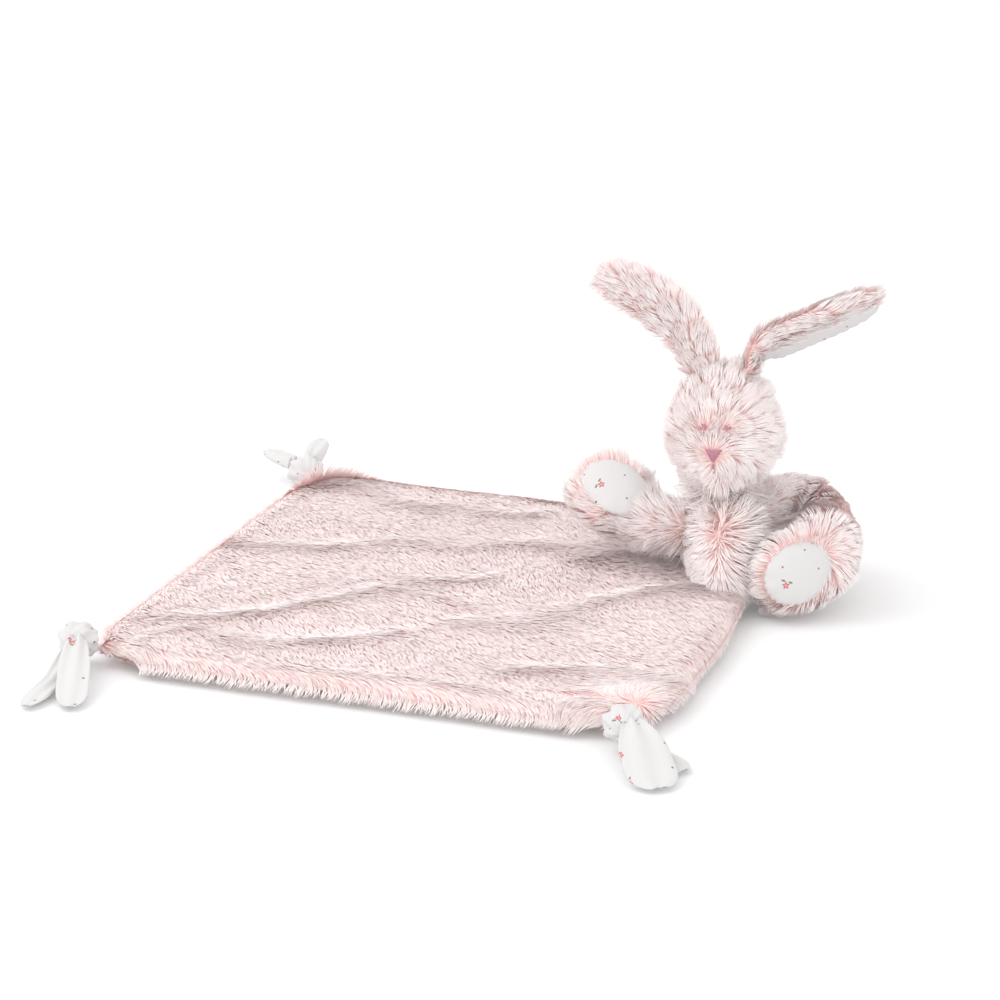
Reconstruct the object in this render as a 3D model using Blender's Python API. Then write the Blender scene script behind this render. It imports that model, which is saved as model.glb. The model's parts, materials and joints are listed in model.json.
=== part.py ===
"""Comfort blanket with a rabbit's head and arms at one gathered corner, as separate sewn pieces.

Metres, Z up. The origin is the centre of the blanket's flat underside: X runs along the front edge and
Y runs away from it. Left and right are as seen from the front.

The square blanket is two plush panels sewn edge to edge. Three of its corners carry knotted cotton ties.
The fourth is slightly drawn in, and a lightly stuffed chest is sewn on near it, which carries the neck,
the head and two arms.
Every plush solid is as large as its pile, which is why a cover's wall is thick.
"""
import bpy
import bmesh
from math import acos, asin, cos, exp, pi, radians, sin, sqrt
from mathutils import Matrix, Vector

# Fits that all pieces share
TOUCH_GAP = 0.0003
LINING_GAP = 0.0003
STUFFING_GAP = 0.0006
SOCKET_GAP = 0.0004
CUT_OVERRUN = 0.012
SOCKET_BALL_FACETS = (24, 12)
GROOVE_FACETS = 14
HALF_BALL_CUT_SHARE = 0.01
SHARP_ANGLE = radians(40)

# Blanket
BLANKET_SIDE = 0.314
BACK_PANEL_THICKNESS = 0.0080
TOP_PANEL_THICKNESS = 0.0100
PANEL_EDGE_THICKNESS = 0.0025
PANEL_EDGE_ROUND = 0.0100
CORNER_ROUND = 0.0075
CORNER_START_SHARE = 1.72
GATHER_DEPTH = 0.016
GATHER_START_SHARE = 0.7
CREST_RISE = 0.0012
CREASE_DEPTH = 0.0042
CREASE_HALF_WIDTH = 0.0100
# Each crease is a line of places across and back, as shares of the blanket's half side
CREASES = (
    ((-1.02, 0.13), (-0.67, 0.17), (-0.36, 0.32), (0.04, 0.50), (0.29, 0.46)),
    ((-0.87, -0.66), (-0.52, -0.42), (-0.23, -0.02), (0.00, 0.11)),
    ((-0.57, -0.71), (-0.28, -0.66), (-0.06, -0.50)),
    ((0.08, -0.34), (0.34, -0.25), (0.45, 0.03), (0.72, 0.26)),
    ((0.36, -0.66), (0.60, -0.61), (0.93, -0.57)),
    ((-0.83, 0.85), (-0.68, 0.81), (-0.45, 0.71), (-0.06, 0.76)))
CALM_MARGIN = 0.009
CALM_FADE = 0.030
EDGE_STEP_SHARES = (0.0, 0.012, 0.036, 0.070)
TOP_PANEL_STEPS = (24, 28)
BACK_PANEL_STEPS = (6, 6)

# Chest
CHEST_FROM_RIGHT_EDGE = 0.0362
CHEST_FROM_BACK_EDGE = 0.0905
CHEST_TURN = radians(22)
CHEST_HALF_WIDTH = 0.0180
CHEST_HALF_LENGTH = 0.041
CHEST_HEIGHT = 0.034
CHEST_WALL = 0.0050
CHEST_SKIRT = 0.0040
CHEST_FACETS = (18, 10)

# Neck
NECK_BEHIND_CHEST_MIDDLE = 0.0060
NECK_RADIUS = 0.0130
NECK_FACETS = (16, 8)

# Head
HEAD_TURN = radians(8)
HEAD_HALF_WIDTH = 0.0325
HEAD_HALF_DEPTH = 0.0335
HEAD_HALF_HEIGHT = 0.0365
HEAD_CLEARANCE = 0.0020
HEAD_WALL = 0.0070
HEAD_FACETS = (20, 12)
HEAD_STUFFING_FACETS = (14, 8)
CHEEK_SHARE = 0.045
CHEEK_HEIGHT_SHARE = -0.28
CHEEK_SPREAD_SHARE = 0.42
MUZZLE_REACH = 0.0040
MUZZLE_HEIGHT_SHARE = -0.22
MUZZLE_SPREAD_SHARE = 0.36

# Face
EYE_SPACING = 0.0126
EYE_RISE = 0.0096
EYE_HALF_WIDTH = 0.0018
EYE_HALF_HEIGHT = 0.0013
EYE_HALF_DEPTH = 0.0011
EYE_FACETS = (8, 6)
NOSE_DROP = 0.0050
NOSE_HALF_WIDTH = 0.0036
NOSE_HALF_HEIGHT = 0.0038
NOSE_THICKNESS = 0.0024
NOSE_ROUND = 0.0006
MOUTH_DROP = 0.0095
MOUTH_LENGTH = 0.0135
MOUTH_RADIUS = 0.0007
MOUTH_STEPS = 4
MOUTH_SIDES = 8

# Ears
EAR_ROOT_OFFSET = 0.0120
EAR_ROOT_HALF_THICKNESS = 0.0055
EAR_HALF_THICKNESS = 0.0075
EAR_FLAT_SIDE_THICKNESS = 0.0012
EAR_ROOT_HALF_WIDTH = 0.0105
EAR_HALF_WIDTH = 0.0140
EAR_LINING_THICKNESS = 0.0012
EAR_LINING_WIDTH_SHARE = 0.80
EAR_LINING_START_SHARE = 0.24
EAR_LINING_END_SHARE = 0.97
LEFT_EAR_LENGTH = 0.073
RIGHT_EAR_LENGTH = 0.077
EAR_TIP_START_SHARE = 0.86
EAR_TIP_LENGTH_SHARE = 0.16
EAR_STEPS = 11
EAR_SIDES = 12
EAR_ROOT_ANGLES = (radians(70), radians(40))
EAR_LINING_STRIPS = 6

# Arms
SHOULDER_OUT = 0.0195
LEFT_SHOULDER_BACK = 0.0030
RIGHT_SHOULDER_BACK = 0.0175
SHOULDER_RISE = 0.0190
SHOULDER_RADIUS = 0.0125
ARM_RADIUS = 0.0178
PAW_RADIUS = 0.0215
LEFT_ARM_REACH = 0.058
RIGHT_ARM_REACH = 0.055
ARM_WALL = 0.0050
ARM_ROOT_FLAT_RADIUS = 0.0060
ARM_OPENING_RADIUS = 0.0045
ARM_STUFFING_END_RADIUS = 0.0030
ARM_STEPS = 9
ARM_SIDES = 12
SHOULDER_STEPS = 3
PAW_STEPS = 4
PAW_START_SHARE = 0.55
PAW_SWELL_SHARE = 0.30

# Paw pads
PAD_HALF_LENGTH = 0.0200
PAD_HALF_WIDTH = 0.0155
PAD_BULGE = 0.0045
PAD_FACETS = (18, 6)
PAD_DISTANCE = 0.0145

# Corner ties
FRONT_KNOT_RISE = 0.0140
BACK_KNOT_RISE = 0.0093
KNOT_HALF_WIDTH = 0.0095
KNOT_HALF_HEIGHT = 0.0090
KNOT_HALF_LENGTH = 0.0110
KNOT_FACETS = (14, 8)
TIE_HALF_THICKNESS = 0.0012
TIE_ROOT_HALF_WIDTH = 0.0045
TIE_ROOT_ANGLE = radians(60)
TIE_LENGTH = 0.050
TIE_HALF_WIDTH = 0.0085
TIE_ROOT_RISE = 0.0036
TIE_FLOOR_GAP = 0.0004
TIE_TIP_START_SHARE = 0.72
TIE_TIP_LENGTH_SHARE = 0.30
TIE_STEPS = 8
TIE_SIDES = 8

# Colours, as linear red, green and blue
PLUSH_PINK = (0.83, 0.67, 0.65)
COTTON_WHITE = (0.87, 0.83, 0.83)
STUFFING_WHITE = (0.90, 0.89, 0.87)
THREAD_ROSE = (0.50, 0.15, 0.25)

UP = Vector((0, 0, 1))

SEAM_HEIGHT = BACK_PANEL_THICKNESS
BLANKET_TOP = SEAM_HEIGHT + TOUCH_GAP + TOP_PANEL_THICKNESS
CHEST_BASE = BLANKET_TOP + TOUCH_GAP
CHEST_X = BLANKET_SIDE / 2 - CHEST_FROM_RIGHT_EDGE
CHEST_Y = BLANKET_SIDE / 2 - CHEST_FROM_BACK_EDGE
NECK_PLACE = Vector((CHEST_X, CHEST_Y + NECK_BEHIND_CHEST_MIDDLE, CHEST_BASE + CHEST_HEIGHT))
HEAD_RISE = HEAD_HALF_HEIGHT + HEAD_CLEARANCE


# Scene and objects

def clear_scene():
    for thing in list(bpy.data.objects):
        bpy.data.objects.remove(thing, do_unlink=True)
    for group in list(bpy.data.collections):
        bpy.data.collections.remove(group)


clear_scene()
parts = bpy.data.collections.new("comfort_blanket")
cutters = bpy.data.collections.new("cutters")
bpy.context.scene.collection.children.link(parts)
bpy.context.scene.collection.children.link(cutters)


def fabric(name, colour, roughness):
    material = bpy.data.materials.new(name)
    material.use_nodes = True
    shader = material.node_tree.nodes["Principled BSDF"]
    shader.inputs["Base Color"].default_value = (*colour, 1)
    shader.inputs["Roughness"].default_value = roughness
    shader.inputs["Metallic"].default_value = 0
    return material


def pivot(name, place, turn=0.0, parent=None):
    """An empty on a joint, which the pieces that move there are parented to."""
    empty = bpy.data.objects.new(name, None)
    empty.location = place
    empty.rotation_euler = (0, 0, turn)
    empty.parent = parent
    empty.hide_render = True
    parts.objects.link(empty)
    return empty


def add_piece(name, mesh, parent, finish):
    """Turn a bmesh into a named piece with its own material."""
    bmesh.ops.recalc_face_normals(mesh, faces=mesh.faces)
    data = bpy.data.meshes.new(name)
    mesh.to_mesh(data)
    mesh.free()
    data.shade_smooth()
    data.set_sharp_from_angle(angle=SHARP_ANGLE)
    data.materials.append(fabric(name, *finish))
    piece = bpy.data.objects.new(name, data)
    piece.parent = parent
    parts.objects.link(piece)
    return piece


def add_cutter(name, mesh, parent=None):
    bmesh.ops.recalc_face_normals(mesh, faces=mesh.faces)
    data = bpy.data.meshes.new(name)
    mesh.to_mesh(data)
    mesh.free()
    cutter = bpy.data.objects.new(name, data)
    cutter.parent = parent
    cutter.hide_render = True
    cutter.display_type = "WIRE"
    cutters.objects.link(cutter)
    return cutter


def cut(piece, *tools):
    for tool in tools:
        boolean = piece.modifiers.new(tool.name, "BOOLEAN")
        boolean.operation = "DIFFERENCE"
        boolean.solver = "EXACT"
        boolean.object = tool


def grown_cutter(piece, gap):
    """A copy of a piece, as it stands without modifiers, that is larger by a gap all round."""
    mesh = bmesh.new()
    mesh.from_mesh(piece.data)
    mesh.normal_update()
    for vertex in mesh.verts:
        vertex.co += vertex.normal * gap
    return add_cutter(piece.name + "_seat", mesh, piece.parent)


def ball_cutter(name, place, radius, parent=None):
    """A sphere whose flat facets all lie outside the radius, for a round end to turn in."""
    segments, rings = SOCKET_BALL_FACETS
    outer = (radius + SOCKET_GAP) / (cos(pi / segments) * cos(pi / (2 * rings)))
    mesh = bmesh.new()
    bmesh.ops.create_uvsphere(mesh, u_segments=segments, v_segments=rings, radius=outer)
    bmesh.ops.translate(mesh, verts=mesh.verts, vec=place)
    return add_cutter(name, mesh, parent)


def groove_cutter(name, centre, side, up, radius, half_width, parent=None):
    """A cylinder along a hinge, whose flat facets all lie outside the radius."""
    outer = (radius + SOCKET_GAP) / cos(pi / GROOVE_FACETS)
    forward = side.cross(up)
    rings = []
    for reach in (-half_width - SOCKET_GAP, half_width + SOCKET_GAP):
        rings.append(ellipse_ring(centre + side * reach, forward, up, outer, outer, outer, GROOVE_FACETS))
    return add_cutter(name, lofted(rings), parent)


# Shapes

def smooth(share):
    share = min(max(share, 0.0), 1.0)
    return share * share * (3 - 2 * share)


def through(points, share):
    """A value on the smooth curve through evenly spaced points, which may be numbers or vectors."""
    spans = len(points) - 1
    at = min(max(share, 0.0), 1.0) * spans
    index = min(int(at), spans - 1)
    t = at - index
    before = points[index - 1] if index > 0 else 2 * points[0] - points[1]
    start, end = points[index], points[index + 1]
    after = points[index + 2] if index + 2 <= spans else 2 * points[-1] - points[-2]
    return 0.5 * (2 * start + (end - before) * t
                  + (2 * before - 5 * start + 4 * end - after) * t * t
                  + (3 * start - before - 3 * end + after) * t * t * t)


def lofted(rings):
    """Join rings of points, all of one count, and close their ends."""
    mesh = bmesh.new()
    loops = [[mesh.verts.new(point) for point in ring] for ring in rings]
    count = len(loops[0])
    for near, far in zip(loops, loops[1:]):
        for i in range(count):
            j = (i + 1) % count
            mesh.faces.new((near[i], near[j], far[j], far[i]))
    mesh.faces.new(list(reversed(loops[0])))
    mesh.faces.new(loops[-1])
    return mesh


def ellipse_ring(centre, side, face, half_width, face_thickness, back_thickness, count):
    """A ring whose thickness differs on its two faces."""
    ring = []
    for i in range(count):
        angle = 2 * pi * i / count
        depth = face_thickness if sin(angle) > 0 else back_thickness
        ring.append(centre + side * (half_width * cos(angle)) + face * (depth * sin(angle)))
    return ring


def frames_along(centres, side):
    """Directions along, across and out of a route, carried along it without twisting."""
    frames = []
    for index, centre in enumerate(centres):
        before = centres[max(index - 1, 0)]
        after = centres[min(index + 1, len(centres) - 1)]
        along = (after - before).normalized()
        side = (side - along * side.dot(along)).normalized()
        frames.append((centre, along, side, along.cross(side)))
    return frames


# Blanket

def edge_spaced(steps):
    """Shares from -1 to 1 that lie close together at both edges and evenly between them."""
    inner = 1 - EDGE_STEP_SHARES[-1]
    middle = [inner * (2 * i / steps - 1) for i in range(1, steps)]
    edge = [1 - share for share in EDGE_STEP_SHARES]
    return [-share for share in edge] + middle + list(reversed(edge))


def blanket_place(s, t):
    """Where a point of the flat square lies once its back right corner is drawn in."""
    half = BLANKET_SIDE / 2
    gather = GATHER_DEPTH * smooth((s + t - GATHER_START_SHARE) / (2 - GATHER_START_SHARE))
    corner = CORNER_ROUND * smooth((abs(s) + abs(t) - CORNER_START_SHARE) / (2 - CORNER_START_SHARE))
    if s > 0 and t > 0:
        corner = 0.0
    return (half * s - gather - (corner if s > 0 else -corner),
            half * t - gather - (corner if t > 0 else -corner))


def edge_profile(s, t):
    """How full the blanket is, from 0 at its edge to 1 inside it, as a quarter circle."""
    distance = BLANKET_SIDE / 2 * (1 - max(abs(s), abs(t)))
    share = min(distance / PANEL_EDGE_ROUND, 1.0)
    return sqrt(1 - (1 - share) ** 2)


def crease(x, y):
    """How far into a crease a place lies, from 0 to 1. The plush is calm round the chest."""
    half = BLANKET_SIDE / 2
    place = Vector((x, y))
    nearest = BLANKET_SIDE
    for line in CREASES:
        for start, end in zip(line, line[1:]):
            start, end = Vector(start) * half, Vector(end) * half
            run = end - start
            along = min(max((place - start).dot(run) / run.dot(run), 0.0), 1.0)
            nearest = min(nearest, (place - start - run * along).length)
    return exp(-(nearest / CREASE_HALF_WIDTH) ** 2)


def roll(x, y):
    """The rise and fall of the top plush, whose crests lie between its creases."""
    from_chest = sqrt((x - CHEST_X) ** 2 + (y - CHEST_Y) ** 2)
    calm = smooth((from_chest - CHEST_HALF_LENGTH - CALM_MARGIN) / CALM_FADE)
    return calm * (CREST_RISE - (CREST_RISE + CREASE_DEPTH) * crease(x, y))


def panel(steps, flat_height, curved_height):
    """A panel that is flat on its seam side and curved on its other side."""
    columns = edge_spaced(steps[0])
    rows = edge_spaced(steps[1])
    mesh = bmesh.new()
    bmesh.ops.create_grid(mesh, x_segments=len(columns) - 1, y_segments=len(rows) - 1, size=1.0)
    made = bmesh.ops.extrude_face_region(mesh, geom=mesh.faces[:])
    raised = [item for item in made["geom"] if isinstance(item, bmesh.types.BMVert)]
    bmesh.ops.translate(mesh, verts=raised, vec=UP)
    flat_faces = [face for face in mesh.faces if all(vertex.co.z < 0.5 for vertex in face.verts)]
    for vertex in mesh.verts:
        s = columns[round((vertex.co.x + 1) / 2 * (len(columns) - 1))]
        t = rows[round((vertex.co.y + 1) / 2 * (len(rows) - 1))]
        x, y = blanket_place(s, t)
        vertex.co = (x, y, flat_height if vertex.co.z < 0.5 else curved_height(s, t, x, y))
    bmesh.ops.dissolve_faces(mesh, faces=flat_faces, use_verts=False)
    bmesh.ops.triangulate(mesh, faces=mesh.faces)
    return mesh


def make_blanket():
    def top(s, t, x, y):
        full = TOP_PANEL_THICKNESS - PANEL_EDGE_THICKNESS
        base = SEAM_HEIGHT + TOUCH_GAP + PANEL_EDGE_THICKNESS
        return base + edge_profile(s, t) * (full + roll(x, y))

    def bottom(s, t, x, y):
        return (BACK_PANEL_THICKNESS - PANEL_EDGE_THICKNESS) * (1 - edge_profile(s, t))

    plush = (PLUSH_PINK, 0.9)
    add_piece("blanket_top_panel", panel(TOP_PANEL_STEPS, SEAM_HEIGHT + TOUCH_GAP, top), None, plush)
    add_piece("blanket_back_panel", panel(BACK_PANEL_STEPS, SEAM_HEIGHT, bottom), None, plush)


# Chest and neck

def chest_ball(wall, skirt):
    """The upper half of an ellipsoid, less a wall, with its flat base carried down by a skirt."""
    mesh = bmesh.new()
    bmesh.ops.create_uvsphere(mesh, u_segments=CHEST_FACETS[0], v_segments=CHEST_FACETS[1], radius=1.0)
    lower = [vertex for vertex in mesh.verts if vertex.co.z < -HALF_BALL_CUT_SHARE]
    bmesh.ops.delete(mesh, geom=lower, context="VERTS")
    base = bmesh.ops.holes_fill(mesh, edges=[edge for edge in mesh.edges if edge.is_boundary])["faces"]
    size = (CHEST_HALF_WIDTH - wall, CHEST_HALF_LENGTH - wall, CHEST_HEIGHT - wall)
    bmesh.ops.scale(mesh, verts=mesh.verts, vec=size)
    for vertex in base[0].verts:
        vertex.co.z = 0.0
    made = bmesh.ops.extrude_face_region(mesh, geom=base)
    bmesh.ops.delete(mesh, geom=base, context="FACES_ONLY")
    moved = [item for item in made["geom"] if isinstance(item, bmesh.types.BMVert)]
    bmesh.ops.translate(mesh, verts=moved, vec=UP * -skirt)
    return mesh


def make_chest(shoulder_cutters):
    """The chest's skirt reaches into the blanket's top, which then cuts its foot to the blanket's own shape."""
    base = pivot("chest_place", (CHEST_X, CHEST_Y, CHEST_BASE), CHEST_TURN)
    neck_socket = ball_cutter("neck_in_chest", NECK_PLACE, NECK_RADIUS)
    hollow = add_cutter("chest_hollow", chest_ball(CHEST_WALL, CUT_OVERRUN), base)
    cover = add_piece("chest_cover", chest_ball(0.0, CHEST_SKIRT), base, (PLUSH_PINK, 0.9))
    cut(cover, hollow, neck_socket, *shoulder_cutters, *blanket_seats)
    filling = chest_ball(CHEST_WALL + STUFFING_GAP, CHEST_SKIRT)
    stuffing = add_piece("chest_stuffing", filling, base, (STUFFING_WHITE, 0.95))
    cut(stuffing, neck_socket, *shoulder_cutters, *blanket_seats)


def make_neck(parent):
    mesh = bmesh.new()
    segments, rings = NECK_FACETS
    bmesh.ops.create_uvsphere(mesh, u_segments=segments, v_segments=rings, radius=NECK_RADIUS)
    add_piece("neck", mesh, parent, (PLUSH_PINK, 0.9))


# Head and face

def head_point(direction, wall):
    """A point of the head, given in its own frame, whose face looks along -Y."""
    cheek = CHEEK_SHARE * exp(-((direction.z - CHEEK_HEIGHT_SHARE) / CHEEK_SPREAD_SHARE) ** 2)
    nose = Vector((0, -1, MUZZLE_HEIGHT_SHARE)).normalized()
    apart = acos(min(max(direction.dot(nose), -1.0), 1.0))
    muzzle = MUZZLE_REACH * exp(-(apart / MUZZLE_SPREAD_SHARE) ** 2)
    return Vector((
        (HEAD_HALF_WIDTH - wall) * (1 + cheek) * direction.x,
        (HEAD_HALF_DEPTH - wall) * direction.y - muzzle * abs(direction.y),
        (HEAD_HALF_HEIGHT - wall) * direction.z + HEAD_RISE))


def head_ball(wall, facets):
    mesh = bmesh.new()
    bmesh.ops.create_uvsphere(mesh, u_segments=facets[0], v_segments=facets[1], radius=1.0)
    for vertex in mesh.verts:
        vertex.co = head_point(vertex.co.normalized(), wall)
    return mesh


def face_place(across, rise):
    """A place on the front of the head, at a distance across and above its middle."""
    x = across / HEAD_HALF_WIDTH
    z = rise / HEAD_HALF_HEIGHT
    return head_point(Vector((x, -sqrt(1 - x * x - z * z), z)), 0.0)


def make_eye(name, side, head):
    mesh = bmesh.new()
    bmesh.ops.create_uvsphere(mesh, u_segments=EYE_FACETS[0], v_segments=EYE_FACETS[1], radius=1.0)
    bmesh.ops.scale(mesh, verts=mesh.verts, vec=(EYE_HALF_WIDTH, EYE_HALF_DEPTH, EYE_HALF_HEIGHT))
    eye = add_piece(name, mesh, head, (THREAD_ROSE, 0.7))
    eye.location = face_place(side * EYE_SPACING / 2, EYE_RISE)
    eye.rotation_euler = (0, 0, asin(side * EYE_SPACING / 2 / HEAD_HALF_WIDTH))
    return eye


def make_nose(head):
    """A rounded triangle, point down, that lies on the tip of the muzzle."""
    corners = ((-1, 1), (1, 1), (0, -1))
    mesh = bmesh.new()
    front = -NOSE_THICKNESS / 2
    points = [mesh.verts.new((NOSE_HALF_WIDTH * x, front, NOSE_HALF_HEIGHT * z)) for x, z in corners]
    face = mesh.faces.new(points)
    made = bmesh.ops.extrude_face_region(mesh, geom=[face])
    moved = [item for item in made["geom"] if isinstance(item, bmesh.types.BMVert)]
    bmesh.ops.translate(mesh, verts=moved, vec=(0, NOSE_THICKNESS, 0))
    bmesh.ops.bevel(mesh, geom=mesh.edges, offset=NOSE_ROUND, segments=2, profile=0.5, affect="EDGES")
    nose = add_piece("nose", mesh, head, (THREAD_ROSE, 0.7))
    nose.location = face_place(0.0, -NOSE_DROP)
    return nose


def make_mouth(head):
    """One long stitch that lies on the muzzle below the nose."""
    drops = [MOUTH_DROP + MOUTH_LENGTH * i / MOUTH_STEPS for i in range(MOUTH_STEPS + 1)]
    centres = [face_place(0.0, -drop) for drop in drops]
    rings = [ellipse_ring(centre, side, out, MOUTH_RADIUS, MOUTH_RADIUS, MOUTH_RADIUS, MOUTH_SIDES)
             for centre, along, side, out in frames_along(centres, Vector((1, 0, 0)))]
    return add_piece("mouth_stitch", lofted(rings), head, (THREAD_ROSE, 0.8))


def make_head(head, ear_roots):
    neck_socket = ball_cutter("neck_in_head", Vector((0, 0, 0)), NECK_RADIUS, head)
    hollow = add_cutter("head_hollow", head_ball(HEAD_WALL, HEAD_STUFFING_FACETS), head)
    cover = add_piece("head_cover", head_ball(0.0, HEAD_FACETS), head, (PLUSH_PINK, 0.9))
    filling = head_ball(HEAD_WALL + STUFFING_GAP, HEAD_STUFFING_FACETS)
    stuffing = add_piece("head_stuffing", filling, head, (STUFFING_WHITE, 0.95))
    eyes = [make_eye("left_eye", -1, head), make_eye("right_eye", 1, head)]
    trims = eyes + [make_nose(head), make_mouth(head)]
    seats = []
    for trim in trims:
        seat = grown_cutter(trim, TOUCH_GAP)
        seat.location = trim.location
        seat.rotation_euler = trim.rotation_euler
        seats.append(seat)
    cut(cover, hollow, neck_socket, *ear_roots, *seats)
    cut(stuffing, neck_socket)


# Ears

# Each point gives the route across, back and up, as shares of the ear's length
LEFT_EAR_ROUTE_SHARES = (
    (0.00, 0.00, 0.00), (-0.10, 0.01, 0.20), (-0.27, 0.02, 0.385), (-0.50, 0.02, 0.53), (-0.75, 0.00, 0.63))
RIGHT_EAR_ROUTE_SHARES = (
    (0.00, 0.00, 0.00), (0.11, 0.01, 0.125), (0.34, 0.03, 0.25), (0.60, 0.04, 0.375), (0.86, 0.05, 0.51))
EAR_WIDTH_SHARES = (0.0, 0.30, 0.80, 1.00, 1.00, 0.92, 0.50)
LEFT_EAR_ROLL = radians(90)
RIGHT_EAR_ROLL = radians(-45)
LEFT_EAR_ROOT_ROLL = radians(90)
RIGHT_EAR_ROOT_ROLL = radians(0)
EAR_ROLL_END_SHARE = 0.35


def ear_root_place(side):
    """The point on top of the head where an ear's root is sewn, in the head's frame."""
    x = side * EAR_ROOT_OFFSET / HEAD_HALF_WIDTH
    return head_point(Vector((x, 0, sqrt(1 - x * x))), 0.0)


def ear_frames(route_shares, length, root_roll, roll):
    """Stations along an ear, from its hinge to its tip, with its width and fur directions."""
    points = [Vector(shares) * length for shares in route_shares]
    shares = [i / EAR_STEPS for i in range(EAR_STEPS + 1)]
    centres = [through(points, share) for share in shares]
    frames = []
    for share, (centre, along, side, out) in zip(shares, frames_along(centres, Vector((0, 1, 0)))):
        angle = root_roll + (roll - root_roll) * smooth(share / EAR_ROLL_END_SHARE)
        turn = Matrix.Rotation(angle, 3, along)
        frames.append((share, centre, along, turn @ side, turn @ out))
    return frames


def ear_half_width(share):
    return EAR_ROOT_HALF_WIDTH + (EAR_HALF_WIDTH - EAR_ROOT_HALF_WIDTH) * through(EAR_WIDTH_SHARES, share)


def ear_tip_share(share):
    """The ear keeps its section until near its tip, where it closes like a quarter circle."""
    closing = max((share - EAR_TIP_START_SHARE) / EAR_TIP_LENGTH_SHARE, 0.0)
    return sqrt(max(1 - closing ** 2, 0.0))


def ear_flat_side(share):
    """Thickness on the lining's side, which falls from the root's own to that of the flat."""
    fall = smooth(share / EAR_LINING_START_SHARE)
    return EAR_ROOT_HALF_THICKNESS + (EAR_FLAT_SIDE_THICKNESS - EAR_ROOT_HALF_THICKNESS) * fall


def make_ear(side_name, route_shares, length, rolls, parent):
    """A plush back with a round root, and a cotton lining laid on its flat side."""
    frames = ear_frames(route_shares, length, *rolls)
    rings = []
    start = frames[0]
    for angle in EAR_ROOT_ANGLES:
        reach, thin = EAR_ROOT_HALF_THICKNESS * sin(angle), EAR_ROOT_HALF_THICKNESS * cos(angle)
        rings.append(ellipse_ring(start[1] - start[2] * reach, start[3], start[4],
                                  EAR_ROOT_HALF_WIDTH - EAR_ROOT_HALF_THICKNESS + thin, thin, thin, EAR_SIDES))
    for share, centre, along, side, out in frames:
        tip = ear_tip_share(share)
        growth = (EAR_HALF_THICKNESS - EAR_ROOT_HALF_THICKNESS) * smooth(2 * share)
        swell = EAR_ROOT_HALF_THICKNESS + growth
        rings.append(ellipse_ring(centre, side, out, ear_half_width(share) * tip,
                                  swell * tip, ear_flat_side(share) * tip, EAR_SIDES))
    add_piece(side_name + "_ear_back", lofted(rings), parent, (PLUSH_PINK, 0.9))

    rings = []
    for share, centre, along, side, out in frames:
        if not EAR_LINING_START_SHARE <= share <= EAR_LINING_END_SHARE:
            continue
        tip = ear_tip_share(share)
        half = ear_half_width(share) * tip
        flat = ear_flat_side(share) * tip
        near, far = [], []
        for i in range(EAR_LINING_STRIPS + 1):
            across = half * EAR_LINING_WIDTH_SHARE * (2 * i / EAR_LINING_STRIPS - 1)
            depth = flat * sqrt(1 - (across / half) ** 2) + LINING_GAP
            near.append(centre + side * across - out * depth)
            far.append(centre + side * across - out * (depth + EAR_LINING_THICKNESS))
        rings.append(near + list(reversed(far)))
    add_piece(side_name + "_ear_lining", lofted(rings), parent, (COTTON_WHITE, 0.8))


def ear_root_cutter(name, route_shares, length, rolls, parent):
    """A groove on the ear's hinge, for its root to turn in."""
    share, centre, along, side, out = ear_frames(route_shares, length, *rolls)[0]
    return groove_cutter(name, centre, side, out, EAR_ROOT_HALF_THICKNESS, EAR_ROOT_HALF_WIDTH, parent)


# Arms

# Each route gives places across, back and up from the shoulder, as shares of the arm's reach
LEFT_ARM = {
    "name": "left", "reach": LEFT_ARM_REACH,
    "route_shares": ((0.00, 0.00, 0.00), (-0.22, 0.02, -0.01), (-0.43, 0.09, -0.01), (-0.62, 0.16, 0.05),
                     (-0.80, 0.21, 0.13)),
    "width_shares": (0.0, 0.15, 0.80, 1.0, 1.0),
    "pad_facing": Vector((0.66, -0.76, 0.62)), "pad_from_end_share": 0.13}
RIGHT_ARM = {
    "name": "right", "reach": RIGHT_ARM_REACH,
    "route_shares": ((0.00, 0.00, 0.00), (0.11, 0.26, 0.08), (0.31, 0.49, 0.10), (0.62, 0.35, 0.04),
                     (0.775, -0.10, -0.05), (0.79, -0.54, -0.15), (0.595, -0.765, -0.28)),
    "width_shares": (0.0, 0.15, 0.25, 0.55, 0.95, 1.0, 1.0),
    "pad_facing": Vector((0.33, -0.92, 0.20)), "pad_from_end_share": 0.0}


def shoulder_place(side, back):
    """A shoulder's joint, given from the chest's middle in the chest's own directions."""
    turn = Matrix.Rotation(CHEST_TURN, 3, "Z")
    middle = Vector((CHEST_X, CHEST_Y, CHEST_BASE + SHOULDER_RISE))
    return middle + turn @ Vector((side * SHOULDER_OUT, back, 0))


def arm_frames(arm):
    points = [Vector(shares) * arm["reach"] for shares in arm["route_shares"]]
    centres = [through(points, i / ARM_STEPS) for i in range(ARM_STEPS + 1)]
    return frames_along(centres, UP)


def arm_radius(arm, share):
    """The arm swells from its shoulder to its forearm, and on to its paw."""
    forearm = SHOULDER_RADIUS + (ARM_RADIUS - SHOULDER_RADIUS) * through(arm["width_shares"], share)
    return forearm + (PAW_RADIUS - ARM_RADIUS) * smooth((share - PAW_START_SHARE) / PAW_SWELL_SHARE)


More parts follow.
